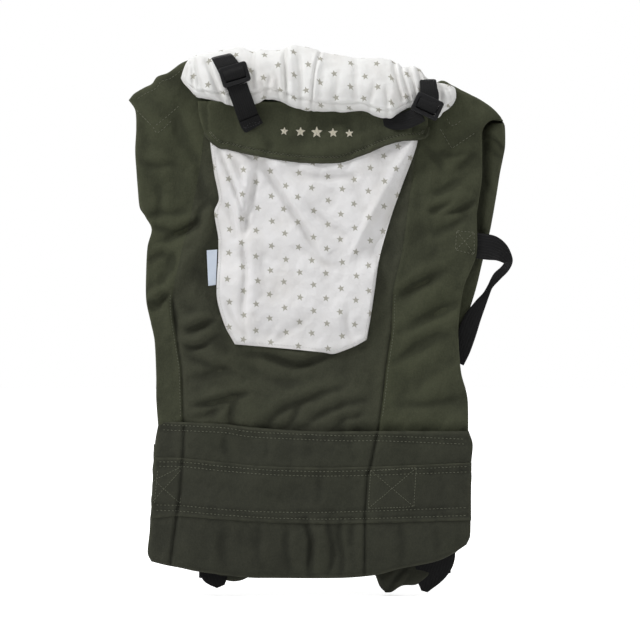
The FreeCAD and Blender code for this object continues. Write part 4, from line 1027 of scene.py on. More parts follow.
BAND_L = [(-172.6, 63.4), (-168.6, 88.5), (-167.9, 119.0), (-167.7, 126.5)]
BAND_R = [(166.0, 66.0), (165.8, 86.1), (166.4, 118.0)]
BAND_B = [(-170.5, 63.0), (-142.3, 65.1), (-93.8, 61.4), (-37.8, 58.3), (28.4, 57.2), (165.9, 60.9)]
BAND_T = [(-165.9, 127.1), (-135.9, 126.4), (-93.8, 121.8), (-37.8, 117.6), (28.4, 116.6), (166.3, 121.5)]
add(patch("belt_band_cloth", [BAND_B[0], (-168.6, 88.5), BAND_T[0]], [BAND_B[-1], (165.8, 86.1), BAND_T[-1]], BAND_B, BAND_T, F_band, lambda x, z: F_belt(x, z) + 0.6, mid=-12.0, rounds=(3, 3, 1.3, 1.6), step=1.9, rim=0.1),
    OLIVE_DARK, "main", ["belt_band"])


def B_belt(x, z):
    y = 7.6 + 0.8 * w_back(x + 50, z) + 0.3 * w_mid(x, z) + 0.5 * np.sin(np.clip(z / 155, 0, 1) * math.pi)
    return y - channel(x, z, ([(-165, 100), (0, 98), (160, 96)], [(-165, 56), (0, 52), (160, 54)]), 1.3, 2.8)


add(patch("belt_lining_cloth", BELT_L, BELT_R, BELT_B, [(-161.7, 164.0), (-66.2, 157.6), (-3.2, 153.3), (163.5, 153.3)], lambda x, z: -5.4 + 0 * x, B_belt, mid=1.0, rounds=(5, 5, 6, 3), step=2.6),
    LINING, "main", ["belt_lining", "belt_foam"])

# ------------------------------------------------------------------ star pocket
P_L = [(-81.9, 245.3), (-92.7, 265.3), (-100.3, 290.4), (-101.1, 307.2), (-99.4, 340.7), (-99.4, 357.4), (-103.4, 384.3), (-98.7, 397.9), (-103.4, 424.2), (-107.6, 457.8), (-106.6, 473.0)]
P_R = [(56.3, 250.2), (60.5, 274.1), (64.7, 302.4), (69.7, 336.0), (81.4, 377.5), (93.1, 410.6), (105.0, 442.1), (109.7, 458.9), (110.0, 473.0)]
P_B = [(-81.9, 245.3), (-39.2, 241.9), (11.0, 236.9), (21.0, 235.2), (33.0, 239.0), (44.5, 243.6), (56.3, 250.2)]
add(patch("star_pocket_cloth", P_L, P_R, P_B, [(-106.6, 473.0), (110.0, 473.0)], F_pouch, lambda x, z: F_panel(x, z) - 0.5, mid=lambda x, z: F_panel(x, z) - 2.0, rounds=(5, 4, 8, 2), step=1.6),
    STAR, "main", ["star_pouch"])
add(patch("side_label_blank", [(-101.6, 307.7), (-100.3, 344.8)], [(-109.6, 306.6), (-111.2, 343.8)], [(-101.6, 307.7), (-109.6, 306.6)], [(-100.3, 344.8), (-111.2, 343.8)],
          lambda x, z: F_panel(x, z) - 5.2 - 1.1 * np.sin((z - 306) / 9) + 0.16 * (x + 105), lambda x, z: F_panel(x, z) - 4.4 - 1.1 * np.sin((z - 306) / 9) + 0.16 * (x + 105),
          mid=lambda x, z: F_panel(x, z) - 4.8 - 1.1 * np.sin((z - 306) / 9) + 0.16 * (x + 105), rounds=(0.5, 0.5, 0.5, 0.5), step=1.2, rim=0.05), SATIN, "main", ["side_label"])

# ------------------------------------------------------------------ flap
FL_L = [(-97.7, 451.7), (-107.1, 458.9), (-112.9, 466.2), (-116.5, 475.3), (-119.3, 487.4), (-120.3, 499.8)]
FL_R = [(110.2, 460.3), (119.0, 464.0), (120.2, 472.0), (120.8, 493.5)]
FLAP_BEND = ("main", "pocket_flap", (0, -20, 480), (0, -20, 462))
add(patch("flap_cloth", FL_L, FL_R, FL_B, [(-120.3, 499.8), (0, 498), (120.8, 493.5)], F_flap, lambda x, z: F_flap(x, z) + 2.6, mid=lambda x, z: F_flap(x, z) + 1.9, rounds=(2.2, 2.2, 2.2, 1), step=1.7, rim=0.2),
    OLIVE, None, ["flap_outer", "flap_lining", "flap_yoke"], bend=FLAP_BEND)

# piping round the free edge of the flap
pip = dense(FL_L[2::-1] + FL_B[1:] + FL_R[1:3], 2.0)
pip3 = np.stack([pip[:, 0], F_flap(pip[:, 0], pip[:, 1]) + 1.5, pip[:, 1]], -1)


def cord(name, pts3, r, m=10, twist=0.0):
    p = arr(pts3)
    t = np.gradient(p, axis=0)
    t /= np.linalg.norm(t, axis=1)[:, None]
    ref = np.broadcast_to(arr((0, -1, 0)), t.shape)
    a = np.cross(t, ref)
    a /= np.maximum(np.linalg.norm(a, axis=1), 1e-6)[:, None]
    b = np.cross(t, a)
    s = arclen(p)
    th = np.arange(m) * 2 * math.pi / m
    rr = r * (1 + 0.05 * np.sin(s / 1.7) + 0.04 * np.sin(s / 4.1 + 1))
    rings = p[:, None] + (a[:, None] * np.cos(th)[None, :, None] + b[:, None] * np.sin(th)[None, :, None]) * rr[:, None, None]
    uv = np.stack([np.broadcast_to(th[None] * r, rings.shape[:2]), np.broadcast_to(s[:, None], rings.shape[:2])], -1).reshape(-1, 2)
    return tube_grid(name, rings, uv, np.full(rings.shape[0] * m, 0.25))


add(cord("flap_piping_cord", pip3, 1.7), PIPING, None, ["flap_piping"], bend=FLAP_BEND)

# ------------------------------------------------------------------ rolled hood
R_TOP = [(-138.1, 524.0), (-136.0, 531.3), (-132.3, 539.7), (-128.3, 544.3), (-119.0, 547.7), (-112.4, 548.9), (-105.0, 550.6), (-96.1, 552.6), (-85.0, 554.8), (-74.5, 555.9), (-63.7, 550.8), (-56.1, 552.6), (-43.1, 552.4), (-33.0, 552.3), (-26.8, 556.3), (-14.7, 556.5), (2.5, 553.4), (7.4, 550.4), (31.5, 546.4), (52.5, 543.9), (71.4, 543.9), (81.9, 541.8), (87.7, 539.2), (94.2, 534.5), (103.7, 535.9), (111.8, 532.8), (116.6, 526.4), (123.9, 520.8), (133.3, 518.3), (142.8, 516.4), (148.3, 513.9), (149.7, 509.2), (150.2, 505.1)]
R_BOT = [(-138.1, 523.4), (-135.5, 518.7), (-128.9, 511.6), (-121.6, 504.0), (-115.5, 502.4), (-107.1, 500.3), (-97.7, 498.1), (-91.4, 496.1), (-83.8, 494.0), (-76.7, 493.5), (-69.3, 493.5), (-57.8, 497.2), (-51.5, 500.3), (-43.7, 501.9), (-34.6, 498.8), (-20.6, 492.5), (-5.2, 489.3), (12.6, 488.2), (28.4, 487.9), (41.0, 488.7), (52.5, 489.3), (63.6, 484.6), (72.5, 482.0), (81.3, 481.3), (87.2, 484.6), (93.5, 488.8), (101.9, 492.5), (112.4, 489.3), (122.9, 483.0), (129.2, 482.0), (133.3, 483.8), (136.0, 488.2), (142.3, 492.7), (147.0, 497.2), (149.9, 503.5)]
R_CY = [(-137, -18.0, 8.0), (-127, -20.5, 12.5), (-108, -23.0, 15.5), (-75, -25.5, 18.0), (-25, -26.0, 18.5), (30, -26.0, 18.5), (75, -26.0, 18.5), (104, -23.5, 15.0), (122, -21.5, 12.0), (140, -19.5, 10.0), (149, -16.0, 5.0)]
rt, rb, rc = dense(R_TOP, 1.2), dense(R_BOT, 1.2), arr(R_CY)
xs = np.unique(np.concatenate([np.linspace(-138.0, -130, 10), np.arange(-130, 145, 1.15), np.linspace(145, 149.8, 9)]))
ot, ob_ = np.argsort(rt[:, 0]), np.argsort(rb[:, 0])
ztop = np.interp(xs, rt[ot, 0], rt[ot, 1])
zbot = np.interp(xs, rb[ob_, 0], rb[ob_, 1])
cy = np.interp(xs, rc[:, 0], rc[:, 1])
ry = np.interp(xs, rc[:, 0], rc[:, 2])
cz, rz = (ztop + zbot) / 2, np.maximum((ztop - zbot) / 2, 0.4)
end = np.minimum(np.clip((xs + 138.2) / 9, 0, 1), np.clip((150.0 - xs) / 7, 0, 1))
ry = ry * np.sqrt(np.maximum(1 - (1 - end) ** 2, 0.004))
m = 168
th = np.arange(m) * 2 * math.pi / m            # 0 = top, then towards the front (-Y)
X = np.broadcast_to(xs[:, None], (len(xs), m))
TH = np.broadcast_to(th[None], X.shape)
sq = 0.86
cs, sn = np.cos(TH), np.sin(TH)
ex = np.sign(sn) * np.abs(sn) ** sq
ez = np.sign(cs) * np.abs(cs) ** 0.94
front_w = smooth((np.sin(TH) + 0.2) / 0.8)


def ridge(x0, depth, width, lean=0.0, lo=0.0, hi=1.0):
    """A gather running round the roll at x0, leaning by `lean` mm, strongest between two heights (0 top, 1 bottom)."""
    h = (1 - np.cos(TH)) / 2
    d = X - (x0 + lean * (h - 0.5) + 1.5 * np.sin(TH * 2 + x0))
    win = smooth((h - lo + 0.12) / 0.2) * smooth((hi + 0.12 - h) / 0.2)
    return win * (-depth * np.exp(-(d / width) ** 2) + 0.6 * depth * np.exp(-((d - width * 2.1) / (width * 1.7)) ** 2) + 0.35 * depth * np.exp(-((d + width * 2.0) / (width * 1.5)) ** 2))


disp = np.zeros_like(X)
for item in [(-28.4, 4.6, 2.6, -3.0, 0.0, 0.95), (2.0, 2.6, 1.4, -11.0, 0.0, 1.0), (-14.0, 1.8, 3.0, 4.0, 0.2, 1.0), (-62.0, 1.7, 3.6, 3.0, 0.0, 0.7),
             (-104.0, 2.6, 3.0, 16.0, 0.2, 1.0), (-118.0, 2.2, 2.6, 14.0, 0.1, 0.9), (-90.0, 2.0, 2.4, 10.0, 0.3, 1.0), (-46.0, 2.4, 2.6, -8.0, 0.62, 1.0), (-54.0, 2.2, 2.2, 7.0, 0.66, 1.0),
             (-38.0, 1.8, 2.2, 9.0, 0.6, 1.0), (25.0, 1.4, 4.0, -5.0, 0.3, 1.0), (44.0, 1.6, 3.6, 5.0, 0.0, 0.8), (62.0, 1.6, 3.0, -6.0, 0.5, 1.0), (74.0, 2.4, 2.4, 8.0, 0.55, 1.0),
             (90.0, 3.2, 2.4, 12.0, 0.0, 0.75), (97.0, 2.6, 2.0, 9.0, 0.0, 0.9), (104.0, 2.6, 2.2, 6.0, 0.0, 1.0), (112.0, 2.0, 2.0, 4.0, 0.0, 1.0), (-126.5, 2.0, 1.5, 7.0, 0.15, 0.85), (-131.0, 1.8, 1.3, -4.0, 0.2, 0.9), (-122.0, 1.4, 1.3, 3.0, 0.3, 0.8), (134.0, 1.8, 2.6, -4.0, 0.3, 1.0), (142.0, 1.4, 1.8, 3.0, 0.0, 0.8)]:
    disp += ridge(*item)
arc = TH * 25
disp += 0.9 * w_roll(X, arc) + 0.35 * w_small(X, arc) + 0.5 * w_mid(X + 60, arc * 0.5)
# the cloth layers of the roll show as a long soft lap behind the lower front
lap = TH - (2.35 + 0.10 * np.sin(X / 37))
disp += -1.8 * np.exp(-(lap / 0.06) ** 2) + 0.8 * np.exp(-((lap + 0.16) / 0.10) ** 2)
# under the two hood straps the roll is pressed in
for x0, dx in ((-86, 13), (116, 10)):
    disp -= 2.2 * np.exp(-((X - x0) / dx) ** 2) * smooth((np.sin(TH) + 0.5) / 1.0)
fade = np.clip(np.minimum(xs + 138.2, 150 - xs) / 10, 0.05, 1)[:, None]
disp = disp * fade
ny, nz = -np.sin(TH) / np.maximum(ry[:, None], 1), np.cos(TH) / np.maximum(rz[:, None], 1)
nn = np.hypot(ny, nz)
# keep the silhouette: less displacement right at the very top and bottom
keep = 0.35 + 0.65 * np.abs(np.sin(TH))
Y = cy[:, None] - ry[:, None] * ex + disp * keep * (ny / nn)
Z = cz[:, None] + rz[:, None] * ez + disp * keep * (nz / nn)
Z = np.where(Y > -9.0, np.maximum(Z, 489.0 - 0.0 * Z), Z)
arcv = np.zeros_like(X)
seg = np.hypot(np.diff(Y, axis=1), np.diff(Z, axis=1))
arcv[:, 1:] = np.cumsum(seg, axis=1)
arcv = arcv - arcv[:, [0]]
rings = np.stack([X, Y, Z], -1)
# the relief of the gathers goes into the 'fold' attribute, which paints shade into the roll's crevices
add(tube_grid("hood_roll_cloth", rings, np.stack([X, -arcv], -1).reshape(-1, 2), np.zeros(X.size), fold=2.0 * relief(disp, 1.15, 4.0).ravel()), STAR_ROLL, "rolled_hood", ["hood_roll"])


def roll_front(x, z, side=-1):
    """Y of the roll's front at (x, z)."""
    i = np.interp(x, xs, np.arange(len(xs)))
    i0 = np.clip(np.round(i).astype(int), 0, len(xs) - 1)
    out = []
    for a, zz in zip(np.atleast_1d(i0), np.atleast_1d(z)):
        half = slice(0, m // 2)
        zz_, yy_ = Z[a, half], Y[a, half]
        o = np.argsort(zz_)
        out.append(np.interp(zz, zz_[o], yy_[o]))
    return arr(out)


# ------------------------------------------------------------------ straps that hold the rolled hood
def strap_over(name, pts, width, across, body, thick=1.5, **kw):
    return add(ribbon(name, pts, across, width, thick=thick, **kw), WEB_FINE if name.startswith("hood") else WEB, body)


cl = [(-98.2, 545.5), (-92.4, 541.3), (-86.1, 534.5), (-80.3, 525.0), (-75.6, 513.5), (-70.4, 501.9), (-65.6, 489.3), (-63.5, 478.8), (-62.5, 473.6)]
cl = arr(cl)
ax_l = arr([0.956, 0, 0.292])
up = [(-96.0, -30.0, 546.4), (-94.4, -40.0, 543.6), (-90.8, -45.0, 538.0), (-86.2, -47.1, 530.5), (-81.6, -47.3, 521.5), (-78.5, -46.4, 513.6)]
ul = ribbon("hood_strap_left_upper", up, [arr([0.96, 0, 0.22])] * 2 + [arr([0.95, 0, 0.28])] + [ax_l] * 3, [21, 21, 22, 23.5, 23, 21.5], thick=1.7, step=1.5)
add(ul, WEB_FINE, "rolled_hood", ["hood_strap_left"])
lowp = [(-78.5, -46.4, 513.6), (-75.6, -45.6, 505.0), (-72.4, -43.2, 496.4), (-69.8, -38.0, 488.8), (-67.2, -31.5, 481.6), (-64.6, -26.4, 475.0), (-62.6, -24.6, 471.4)]
HOOD_BEND = ("main", "rolled_hood", (0, -20, 478), (0, -20, 492))
ll = ribbon("hood_strap_left_lower", lowp, [arr([0.945, 0, 0.325])] * len(lowp), 21.5, thick=1.7, step=1.5)
add(ll, WEB_FINE, None, ["hood_stub_left"], bend=HOOD_BEND)
hem = ribbon("hood_strap_left_hem", [(-66.6, -32.6, 481.0), (-64.2, -28.2, 475.6), (-61.4, -26.4, 471.0)], [arr([0.945, 0, 0.325])] * 3, 21.8, thick=1.5, step=1.2)
add(hem, WEB_FINE, None, [], bend=HOOD_BEND)

ax_r = arr([0.906, 0, -0.423])
upr = [(119.0, -24.0, 521.6), (119.4, -31.5, 520.4), (119.9, -36.5, 516.6), (120.2, -40.0, 511.0), (121.0, -41.8, 505.0), (119.6, -43.6, 497.0), (116.6, -43.6, 489.5), (113.6, -42.4, 484.0)]
ua = [arr([1, 0, 0])] * 3 + [arr([0.995, 0, -0.10]), arr([0.97, 0, -0.24]), arr([0.93, 0, -0.36]), ax_r, ax_r]
add(ribbon("hood_strap_right_upper", upr, ua, [17.5, 17.5, 17.5, 18, 19.5, 21, 21, 20], thick=1.7, step=1.5), WEB_FINE, "rolled_hood", ["hood_strap_right"])
lowr = [(112.6, -41.6, 485.6), (105.0, -35.0, 481.8), (96.0, -29.5, 478.6), (86.0, -26.5, 477.2), (76.0, -24.6, 478.0), (66.0, -22.0, 480.0)]
la = [arr([-0.35, 0.0, 0.93])] * 3 + [arr([-0.20, 0, 0.98])] * 3
add(ribbon("hood_strap_right_lower", lowr, la, [18, 18, 18, 16, 13, 10], thick=1.7, step=1.5), WEB_FINE, None, ["hood_stub_right"], bend=HOOD_BEND)

for side, c0, dr, wd in (("left", (-81.0, -47.7, 525.0), (0.292, -0.956), 22.0), ("right", (118.6, -43.7, 492.5), (-0.423, -0.906), 21.0)):
    pts = [(c0[0] + dr[0] * q, c0[1] - lift, c0[2] + dr[1] * q) for q, lift in ((-8.6, -0.6), (-6.6, 2.6), (-3.4, 4.5), (0.4, 4.7), (3.6, 3.4), (5.8, 0.6), (6.6, -1.2))]
    add(ribbon("hood_slider_%s_turn" % side, pts, [(-dr[1], 0, dr[0])] * 7, wd, thick=1.5, step=0.9), WEB_FINE, "hood_slider_" + side, [])

# ------------------------------------------------------------------ side webbings
SWR = [(149.1, 352.8), (162.8, 350.7), (175.3, 348.6), (188.0, 346.5), (198.5, 341.2), (205.3, 332.9), (202.1, 325.0), (194.2, 317.1), (186.9, 306.6), (182.2, 297.2), (175.9, 286.7), (168.0, 271.9), (161.7, 255.2), (155.9, 239.4), (150.2, 226.8)]
SWW = [25, 25, 25.5, 25, 19, 12, 10, 9, 6, 7.5, 12, 17, 19, 19, 18]
SWY = [-2.8, -3.2, -4.2, -4.8, -4.2, -1.0, 2.5, 4.5, 5.8, 6.6, 7.4, 7.9, 8.0, 7.9, 7.8]
p2 = arr(SWR)
tan = np.gradient(p2, axis=0)
tan /= np.linalg.norm(tan, axis=1)[:, None]
ac = [arr([-t[1], 0, t[0]]) for t in tan]
for k, yy in ((4, 0.25), (5, 0.75), (6, 0.7), (7, 0.25), (8, -0.6), (9, -0.5)):
    ac[k] = ac[k] + arr([0, yy, 0])
    ac[k] /= np.linalg.norm(ac[k])
add(ribbon("side_webbing_right_loop", [(a, y, b) for (a, b), y in zip(SWR, SWY)], ac, [w * 1.05 for w in SWW], thick=1.7, step=1.4, segs=16), WEB, "main", ["side_webbing_right"])
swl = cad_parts["side_webbing_left"]
lo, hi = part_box("side_webbing_left")
lo, hi = [v / MM for v in lo], [v / MM for v in hi]
add(ribbon("side_webbing_left_tape", [(-146, 7.6, 352), (-156, 8.2, 322), (-163, 8.2, 296), (-160, 8.0, 270)], [arr([0.97, 0, 0.22])] * 2 + [arr([0.99, 0, 0.0])] * 2, 20, thick=1.5, step=1.6, segs=14), WEB, "main", ["side_webbing_left"])

# ------------------------------------------------------------------ shoulder straps (fold behind the panel)
w_pad = Waves(61, 38, 12)


def pad_front(seed):
    w = Waves(seed, 40, 12)
    return lambda x, z: 9.3 - 0.9 * w(x, z) - 0.2 * w_small(x, z)


def pad_back(seed, rows=(), base=21.2, crown=1.0, flat=()):
    w = Waves(seed + 1, 40, 12)

    def f(x, z):
        y = base + crown + 1.1 * w(x, z) + 0.5 * w_mid(x, z + 13) + 0.25 * w_small(x, z)
        # hardware sewn to the pad presses it flat
        for pts, half, top in flat:
            d, s, t = line_dist(x, z, pts)
            y = np.minimum(y, top + np.maximum(d - half, 0) * 0.22)
        return y - channel(x, z, rows, 1.7, 2.8)
    return f


FLAT = {"sl": [([(-146.8, 452.0), (-125.2, 340.0)], 11, 21.3)], "sr": [([(152.4, 452.0), (133.6, 340.0)], 11, 21.3)],
        "wl": [([(-102, -6), (-102, 106)], 24, 22.2)], "wr": [([(127, -6), (127, 118)], 23, 22.2)]}
SL_T = [(-193.9, 502.4), (-188.0, 508.7), (-176.4, 515.6), (-169.1, 519.2), (-163.8, 526.6), (-152.2, 530.8), (-136.5, 541.8), (-117.6, 547.1)]
SL_L = [(-116.6, 214.2), (-129.2, 226.8), (-141.8, 255.2), (-151.2, 286.7), (-157.5, 312.9), (-163.8, 344.4), (-169.1, 366.4), (-176.4, 379.1), (-183.5, 390.6), (-186.3, 430.5), (-187.1, 449.4), (-186.1, 472.5), (-187.1, 491.4), (-193.9, 502.4)]
SL_R = [(-97.7, 214.2), (-85.0, 226.8), (-83.0, 244.7), (-89.2, 281.4), (-96.6, 318.2), (-101.9, 354.9), (-105.0, 391.7), (-106.1, 428.4), (-106.1, 465.2), (-109.2, 510.3), (-117.6, 547.1)]
rows_l = [shift(SL_L[1:12], -7.5)[::4], shift(SL_R[1:9], 7.5)[::4]]
add(patch("strap_left_pad", SL_L, SL_R, [(-116.6, 214.2), (-97.7, 214.2)], SL_T, pad_front(71), pad_back(72, rows_l, flat=FLAT["sl"]), mid=14.5, rounds=(7, 7, 6, 7), step=2.3),
    OLIVE, "strap_left", ["strap_cover_left", "strap_foam_left", "strap_lining_left"])
SR_T = [(120.8, 510.3), (135.5, 521.9), (147.0, 516.6), (164.8, 508.2), (180.6, 498.8), (192.2, 489.3), (199.5, 482.0)]
SR_R = [(131.2, 214.2), (143.8, 226.8), (156.5, 255.2), (167.0, 286.7), (173.2, 307.7), (179.6, 334.9), (186.9, 364.4), (193.2, 399.0), (197.4, 425.2), (200.6, 441.0), (203.0, 454.7), (202.7, 475.7), (199.5, 482.0)]
SR_L = [(112.4, 214.2), (99.8, 226.8), (97.7, 244.7), (104.0, 281.4), (112.4, 318.2), (117.6, 354.9), (120.8, 391.7), (119.7, 428.4), (115.5, 465.2), (120.8, 510.3)]
rows_r = [shift(SR_R[1:11], 7.5)[::4], shift(SR_L[1:9], -7.5)[::4]]


def pad_clear(z):
    """X beyond which the right strap may swell forwards: just outside the body panel's own edge."""
    e = dense(EDGE_R, 4.0)
    o = np.argsort(e[:, 1])
    return np.interp(z, e[o, 1], e[o, 0]) + 2.5


def strap_r_front(x, z):
    base = pad_front(81)(x, z)
    lap = [(169.1, 476.7), (176.4, 473.6), (185.8, 466.2), (194.2, 459.9), (204.8, 451.5)]
    near = (x > 160) & (z > 420)
    sd = np.zeros(np.shape(x))
    if near.any():
        q, s, t = line_dist(x[near], z[near], dense(lap, 4.0))
        sd[near] = 6.5 * smooth((q * s + 1.0) / 3.0) * smooth((x[near] - pad_clear(z[near]) + 1.0) / 4.0)
    return base - sd + creases(x, z, [([(178.5, 479.9), (185.8, 482.0), (196.3, 477.8)], 1.6, 2.6, 0.5), ([(177.5, 459.9), (189.0, 448.4), (201.6, 441.0)], 2.2, 3.0, 0.6), ([(176.4, 423.2), (185.8, 407.4), (193.2, 399.0)], 1.4, 4.0, 0.4)]) - 5.5 * smooth((x - pad_clear(z)) / 8) * smooth((z - 300) / 80)


add(patch("strap_right_pad", SR_L, SR_R, [(112.4, 214.2), (131.2, 214.2)], SR_T, strap_r_front, pad_back(82, rows_r, flat=FLAT["sr"]), mid=13.0, rounds=(7, 8, 6, 7), step=2.1),
    OLIVE, "strap_right", ["strap_cover_right", "strap_foam_right", "strap_lining_right"])


# soft folds that carry the cloth from the panel over the top edge into each strap
def fold_band(name, crest, inward, y0, y1, inset=10.0, out=2.0, bend=None, seed=91, n=26, material=None, f0=None):
    """A U-turn of cloth along the crest curve; `inward` points from the crest into the panel."""
    c = dense(crest, 1.6)
    c = c[1:-1]
    t = np.gradient(c, axis=0)
    t /= np.linalg.norm(t, axis=1)[:, None]
    nrm = np.stack([-t[:, 1], t[:, 0]], -1)
    nrm *= np.sign((nrm * arr(inward)).sum(1))[:, None]
    s = arclen(c)
    L = s[-1]
    k = np.linspace(0, 1, n)
    a = (k - 0.5) * math.pi                      # -90 front .. +90 back
    w = Waves(seed, 26, 10)
    ends = np.sqrt(np.clip(np.minimum(s, L - s) / 9.0, 0.0, 1))
    front_y = (y0 if f0 is None else None)
    P = []
    for q, ang in zip(k, a):
        inn = inset * (1 - np.cos(ang)) - out * np.cos(ang) - 0.9 * w(s, 30 * q)
        xy = c + nrm * (inn * (0.35 + 0.65 * ends))[:, None]
        yf = (np.full(len(c), y0) if f0 is None else f0(xy[:, 0], xy[:, 1]) + 0.8)
        mid_y, half = (yf + y1) / 2, (y1 - yf) / 2
        P.append(np.stack([xy[:, 0], mid_y + half * np.sin(ang) * (0.94 + 0.06 * ends), xy[:, 1]], -1))
    P = np.stack(P, 1)                            # (along, around, 3)
    # inner skin, 1.2 mm inside, makes the band a closed solid
    inner = []
    for i, (q, ang) in enumerate(zip(k, a)):
        inner.append(P[:, i] + np.stack([nrm[:, 0] * 1.1 * np.cos(ang), np.full(len(c), -1.1 * np.sin(ang)), nrm[:, 1] * 1.1 * np.cos(ang)], -1))
    inner = np.stack(inner, 1)
    R = np.concatenate([P, inner[:, ::-1]], 1)
    uvv = np.stack([np.broadcast_to(s[:, None], R.shape[:2]), np.broadcast_to(np.concatenate([k, k[::-1]])[None] * math.pi * (y1 - y0) / 2, R.shape[:2])], -1).reshape(-1, 2)
    # the crest of the fold turns paler: partly rub wear, partly a painted highlight
    edge_wear_and_light = np.concatenate([np.exp(-((k - 0.42) / 0.18) ** 2), np.zeros(n)])
    ob = tube_grid(name, R, uvv, np.broadcast_to(edge_wear_and_light[None] * 0.8, R.shape[:2]).ravel())
    return add(ob, material or OLIVE, None, [], bend=bend)


fold_band("strap_left_fold_cloth", SL_T, (0.6, -0.8), -7.5, 21.5, inset=9.0, out=0.8, bend=("main", "strap_left", (-157, -6, 520), (-157, 20, 520)), seed=92, f0=F_panel)
fold_band("strap_right_fold_cloth", TOP_R[:-1] + [(199.5, 482.0)], (-0.6, -0.8), -7.5, 21.5, inset=9.0, out=0.8, bend=("main", "strap_right", (165, -6, 500), (165, 20, 500)), seed=93, f0=F_panel)

# ------------------------------------------------------------------ hip wings (fold behind the belt)
WL_L = [(-169.1, 18.9), (-172.7, 34.6), (-171.0, 60.0), (-169.1, 88.2), (-168.5, 139.7)]
WL_B = [(-169.1, 18.9), (-152.2, 12.6), (-118.7, 4.2), (-88.2, -5.2), (-76.7, -4.7), (-66.2, 0.0)]
WL_R = [(-66.2, 0.0), (-53.6, 10.5), (-38.9, 29.4), (-28.4, 50.4), (-22.1, 73.5), (-24.2, 94.5), (-34.6, 111.3), (-53.6, 121.8)]
WL_T = [(-168.5, 139.7), (-134.4, 137.6), (-92.4, 131.2), (-53.6, 121.8)]
rows_wl = [[(-160, 118), (-100, 112), (-48, 102)], [(-160, 30), (-100, 18), (-62, 22)], [(-160, 74), (-100, 68), (-44, 66)]]
add(patch("wing_left_pad", WL_L, WL_R, WL_B, WL_T, lambda x, z: 10.6 - 0.8 * w_pad(x, z), pad_back(102, rows_wl, base=21.8, flat=FLAT["wl"]), mid=15.5, rounds=(6, 7, 7, 7), step=2.2),
    OLIVE_DARK, "wing_left", ["wing_cover_left", "wing_foam_left", "wing_lining_left"])
WR_R = [(143.8, 18.9), (160.7, 34.6), (165.2, 45.1), (165.4, 81.9), (165.4, 141.8)]
WR_B = [(76.7, -17.3), (83.0, -16.8), (94.5, -10.0), (110.2, -8.4), (129.2, 6.3), (143.8, 18.9)]
WR_L = [(76.7, -17.3), (70.4, -10.5), (64.0, 4.2), (51.5, 18.9), (33.6, 39.9), (19.9, 60.9), (14.7, 84.0), (19.9, 105.0), (33.6, 117.6)]
WR_T = [(33.6, 117.6), (70.4, 129.2), (122.9, 137.6), (165.4, 141.8)]
rows_wr = [[(158, 120), (100, 112), (44, 100)], [(156, 40), (110, 20), (88, 10)], [(158, 78), (100, 68), (36, 70)]]


def wing_r_front(x, z):
    return 10.6 - 0.8 * w_pad(x + 50, z) - 5.5 * smooth((14 - z) / 22) + creases(x, z, [([(78.8, -15.8), (87.2, -2.1), (99.8, 10.5)], 2.6, 3.0, 0.7), ([(91.4, -12.6), (99.8, -2.1), (106.1, 6.3)], 1.2, 2.6, 0.5)])


add(patch("wing_right_pad", WR_L, WR_R, WR_B, WR_T, wing_r_front, pad_back(112, rows_wr, base=21.8, flat=FLAT["wr"]), mid=15.0, rounds=(7, 6, 6, 7), step=2.2),
    OLIVE_DARK, "wing_right", ["wing_cover_right", "wing_foam_right", "wing_lining_right"])
fold_band("wing_left_fold_cloth", [(-172.6, 36.0), (-171.0, 60.0), (-169.1, 88.2), (-168.4, 112), (-167.4, 136.0)], (1, 0), -12, 22.4, inset=9.5, out=0.5, bend=("main", "wing_left", (-170, -9, 70), (-170, 21, 70)), seed=94, f0=lambda x, z: F_belt(x, z) + 0.8, material=OLIVE_DARK)
fold_band("wing_right_fold_cloth", [(165.0, 46.0), (165.3, 80), (165.6, 110), (166.2, 136.0)], (-1, 0), -12, 22.4, inset=9.5, out=0.5, bend=("main", "wing_right", (168, -9, 70), (168, 21, 70)), seed=95, f0=lambda x, z: F_belt(x, z) + 0.8, material=OLIVE_DARK)

# ------------------------------------------------------------------ webbing on the straps and wings
def box_of(node):
    a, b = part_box(node)
    return arr(a) / MM, arr(b) / MM


for side, cx, cz_, dx, dz in (("left", -136.0, 396.0, 0.19, -0.98), ("right", 143.0, 396.0, -0.165, -0.986)):
    d = arr([dx, 0, dz])
    a = arr([cx, 22.6, cz_])
    add(ribbon("chest_rail_%s_tape" % side, [a - d * 57, a, a + d * 57], [(-dz, 0, dx)] * 3, 8.4, thick=1.5, step=2, segs=8), WEB_FINE, "strap_" + side, ["chest_rail_" + side])
    sgn = 1 if side == "left" else -1
    x0, x1 = (-144.0, -74.0) if side == "left" else (151.0, 81.0)
    wv = [(x0, 26.4, 396.0), (x0 + sgn * 12, 27.1, 396.3), (x0 + sgn * 34, 27.5, 395.6), (x0 + sgn * 56, 27.2, 396.0), (x1, 27.1, 396.0)]
    add(ribbon("chest_webbing_%s_tape" % side, wv, [(0, 0, 1)] * 5, 20.2, thick=1.5, step=2, segs=12), WEB, "chest_half_" + side, ["chest_webbing_" + side])
    lo, hi = box_of("strap_tab_" + side)
    xm = (lo[0] + hi[0]) / 2
    add(ribbon("strap_tab_%s_tape" % side, [(xm, 14.8, hi[2] + 6), (xm, 14.8, (lo[2] + hi[2]) / 2), (xm, 14.8, lo[2])], [(1, 0, 0)] * 3, 25, thick=1.6, step=2, segs=14), WEB, "strap_" + side, ["strap_tab_" + side])

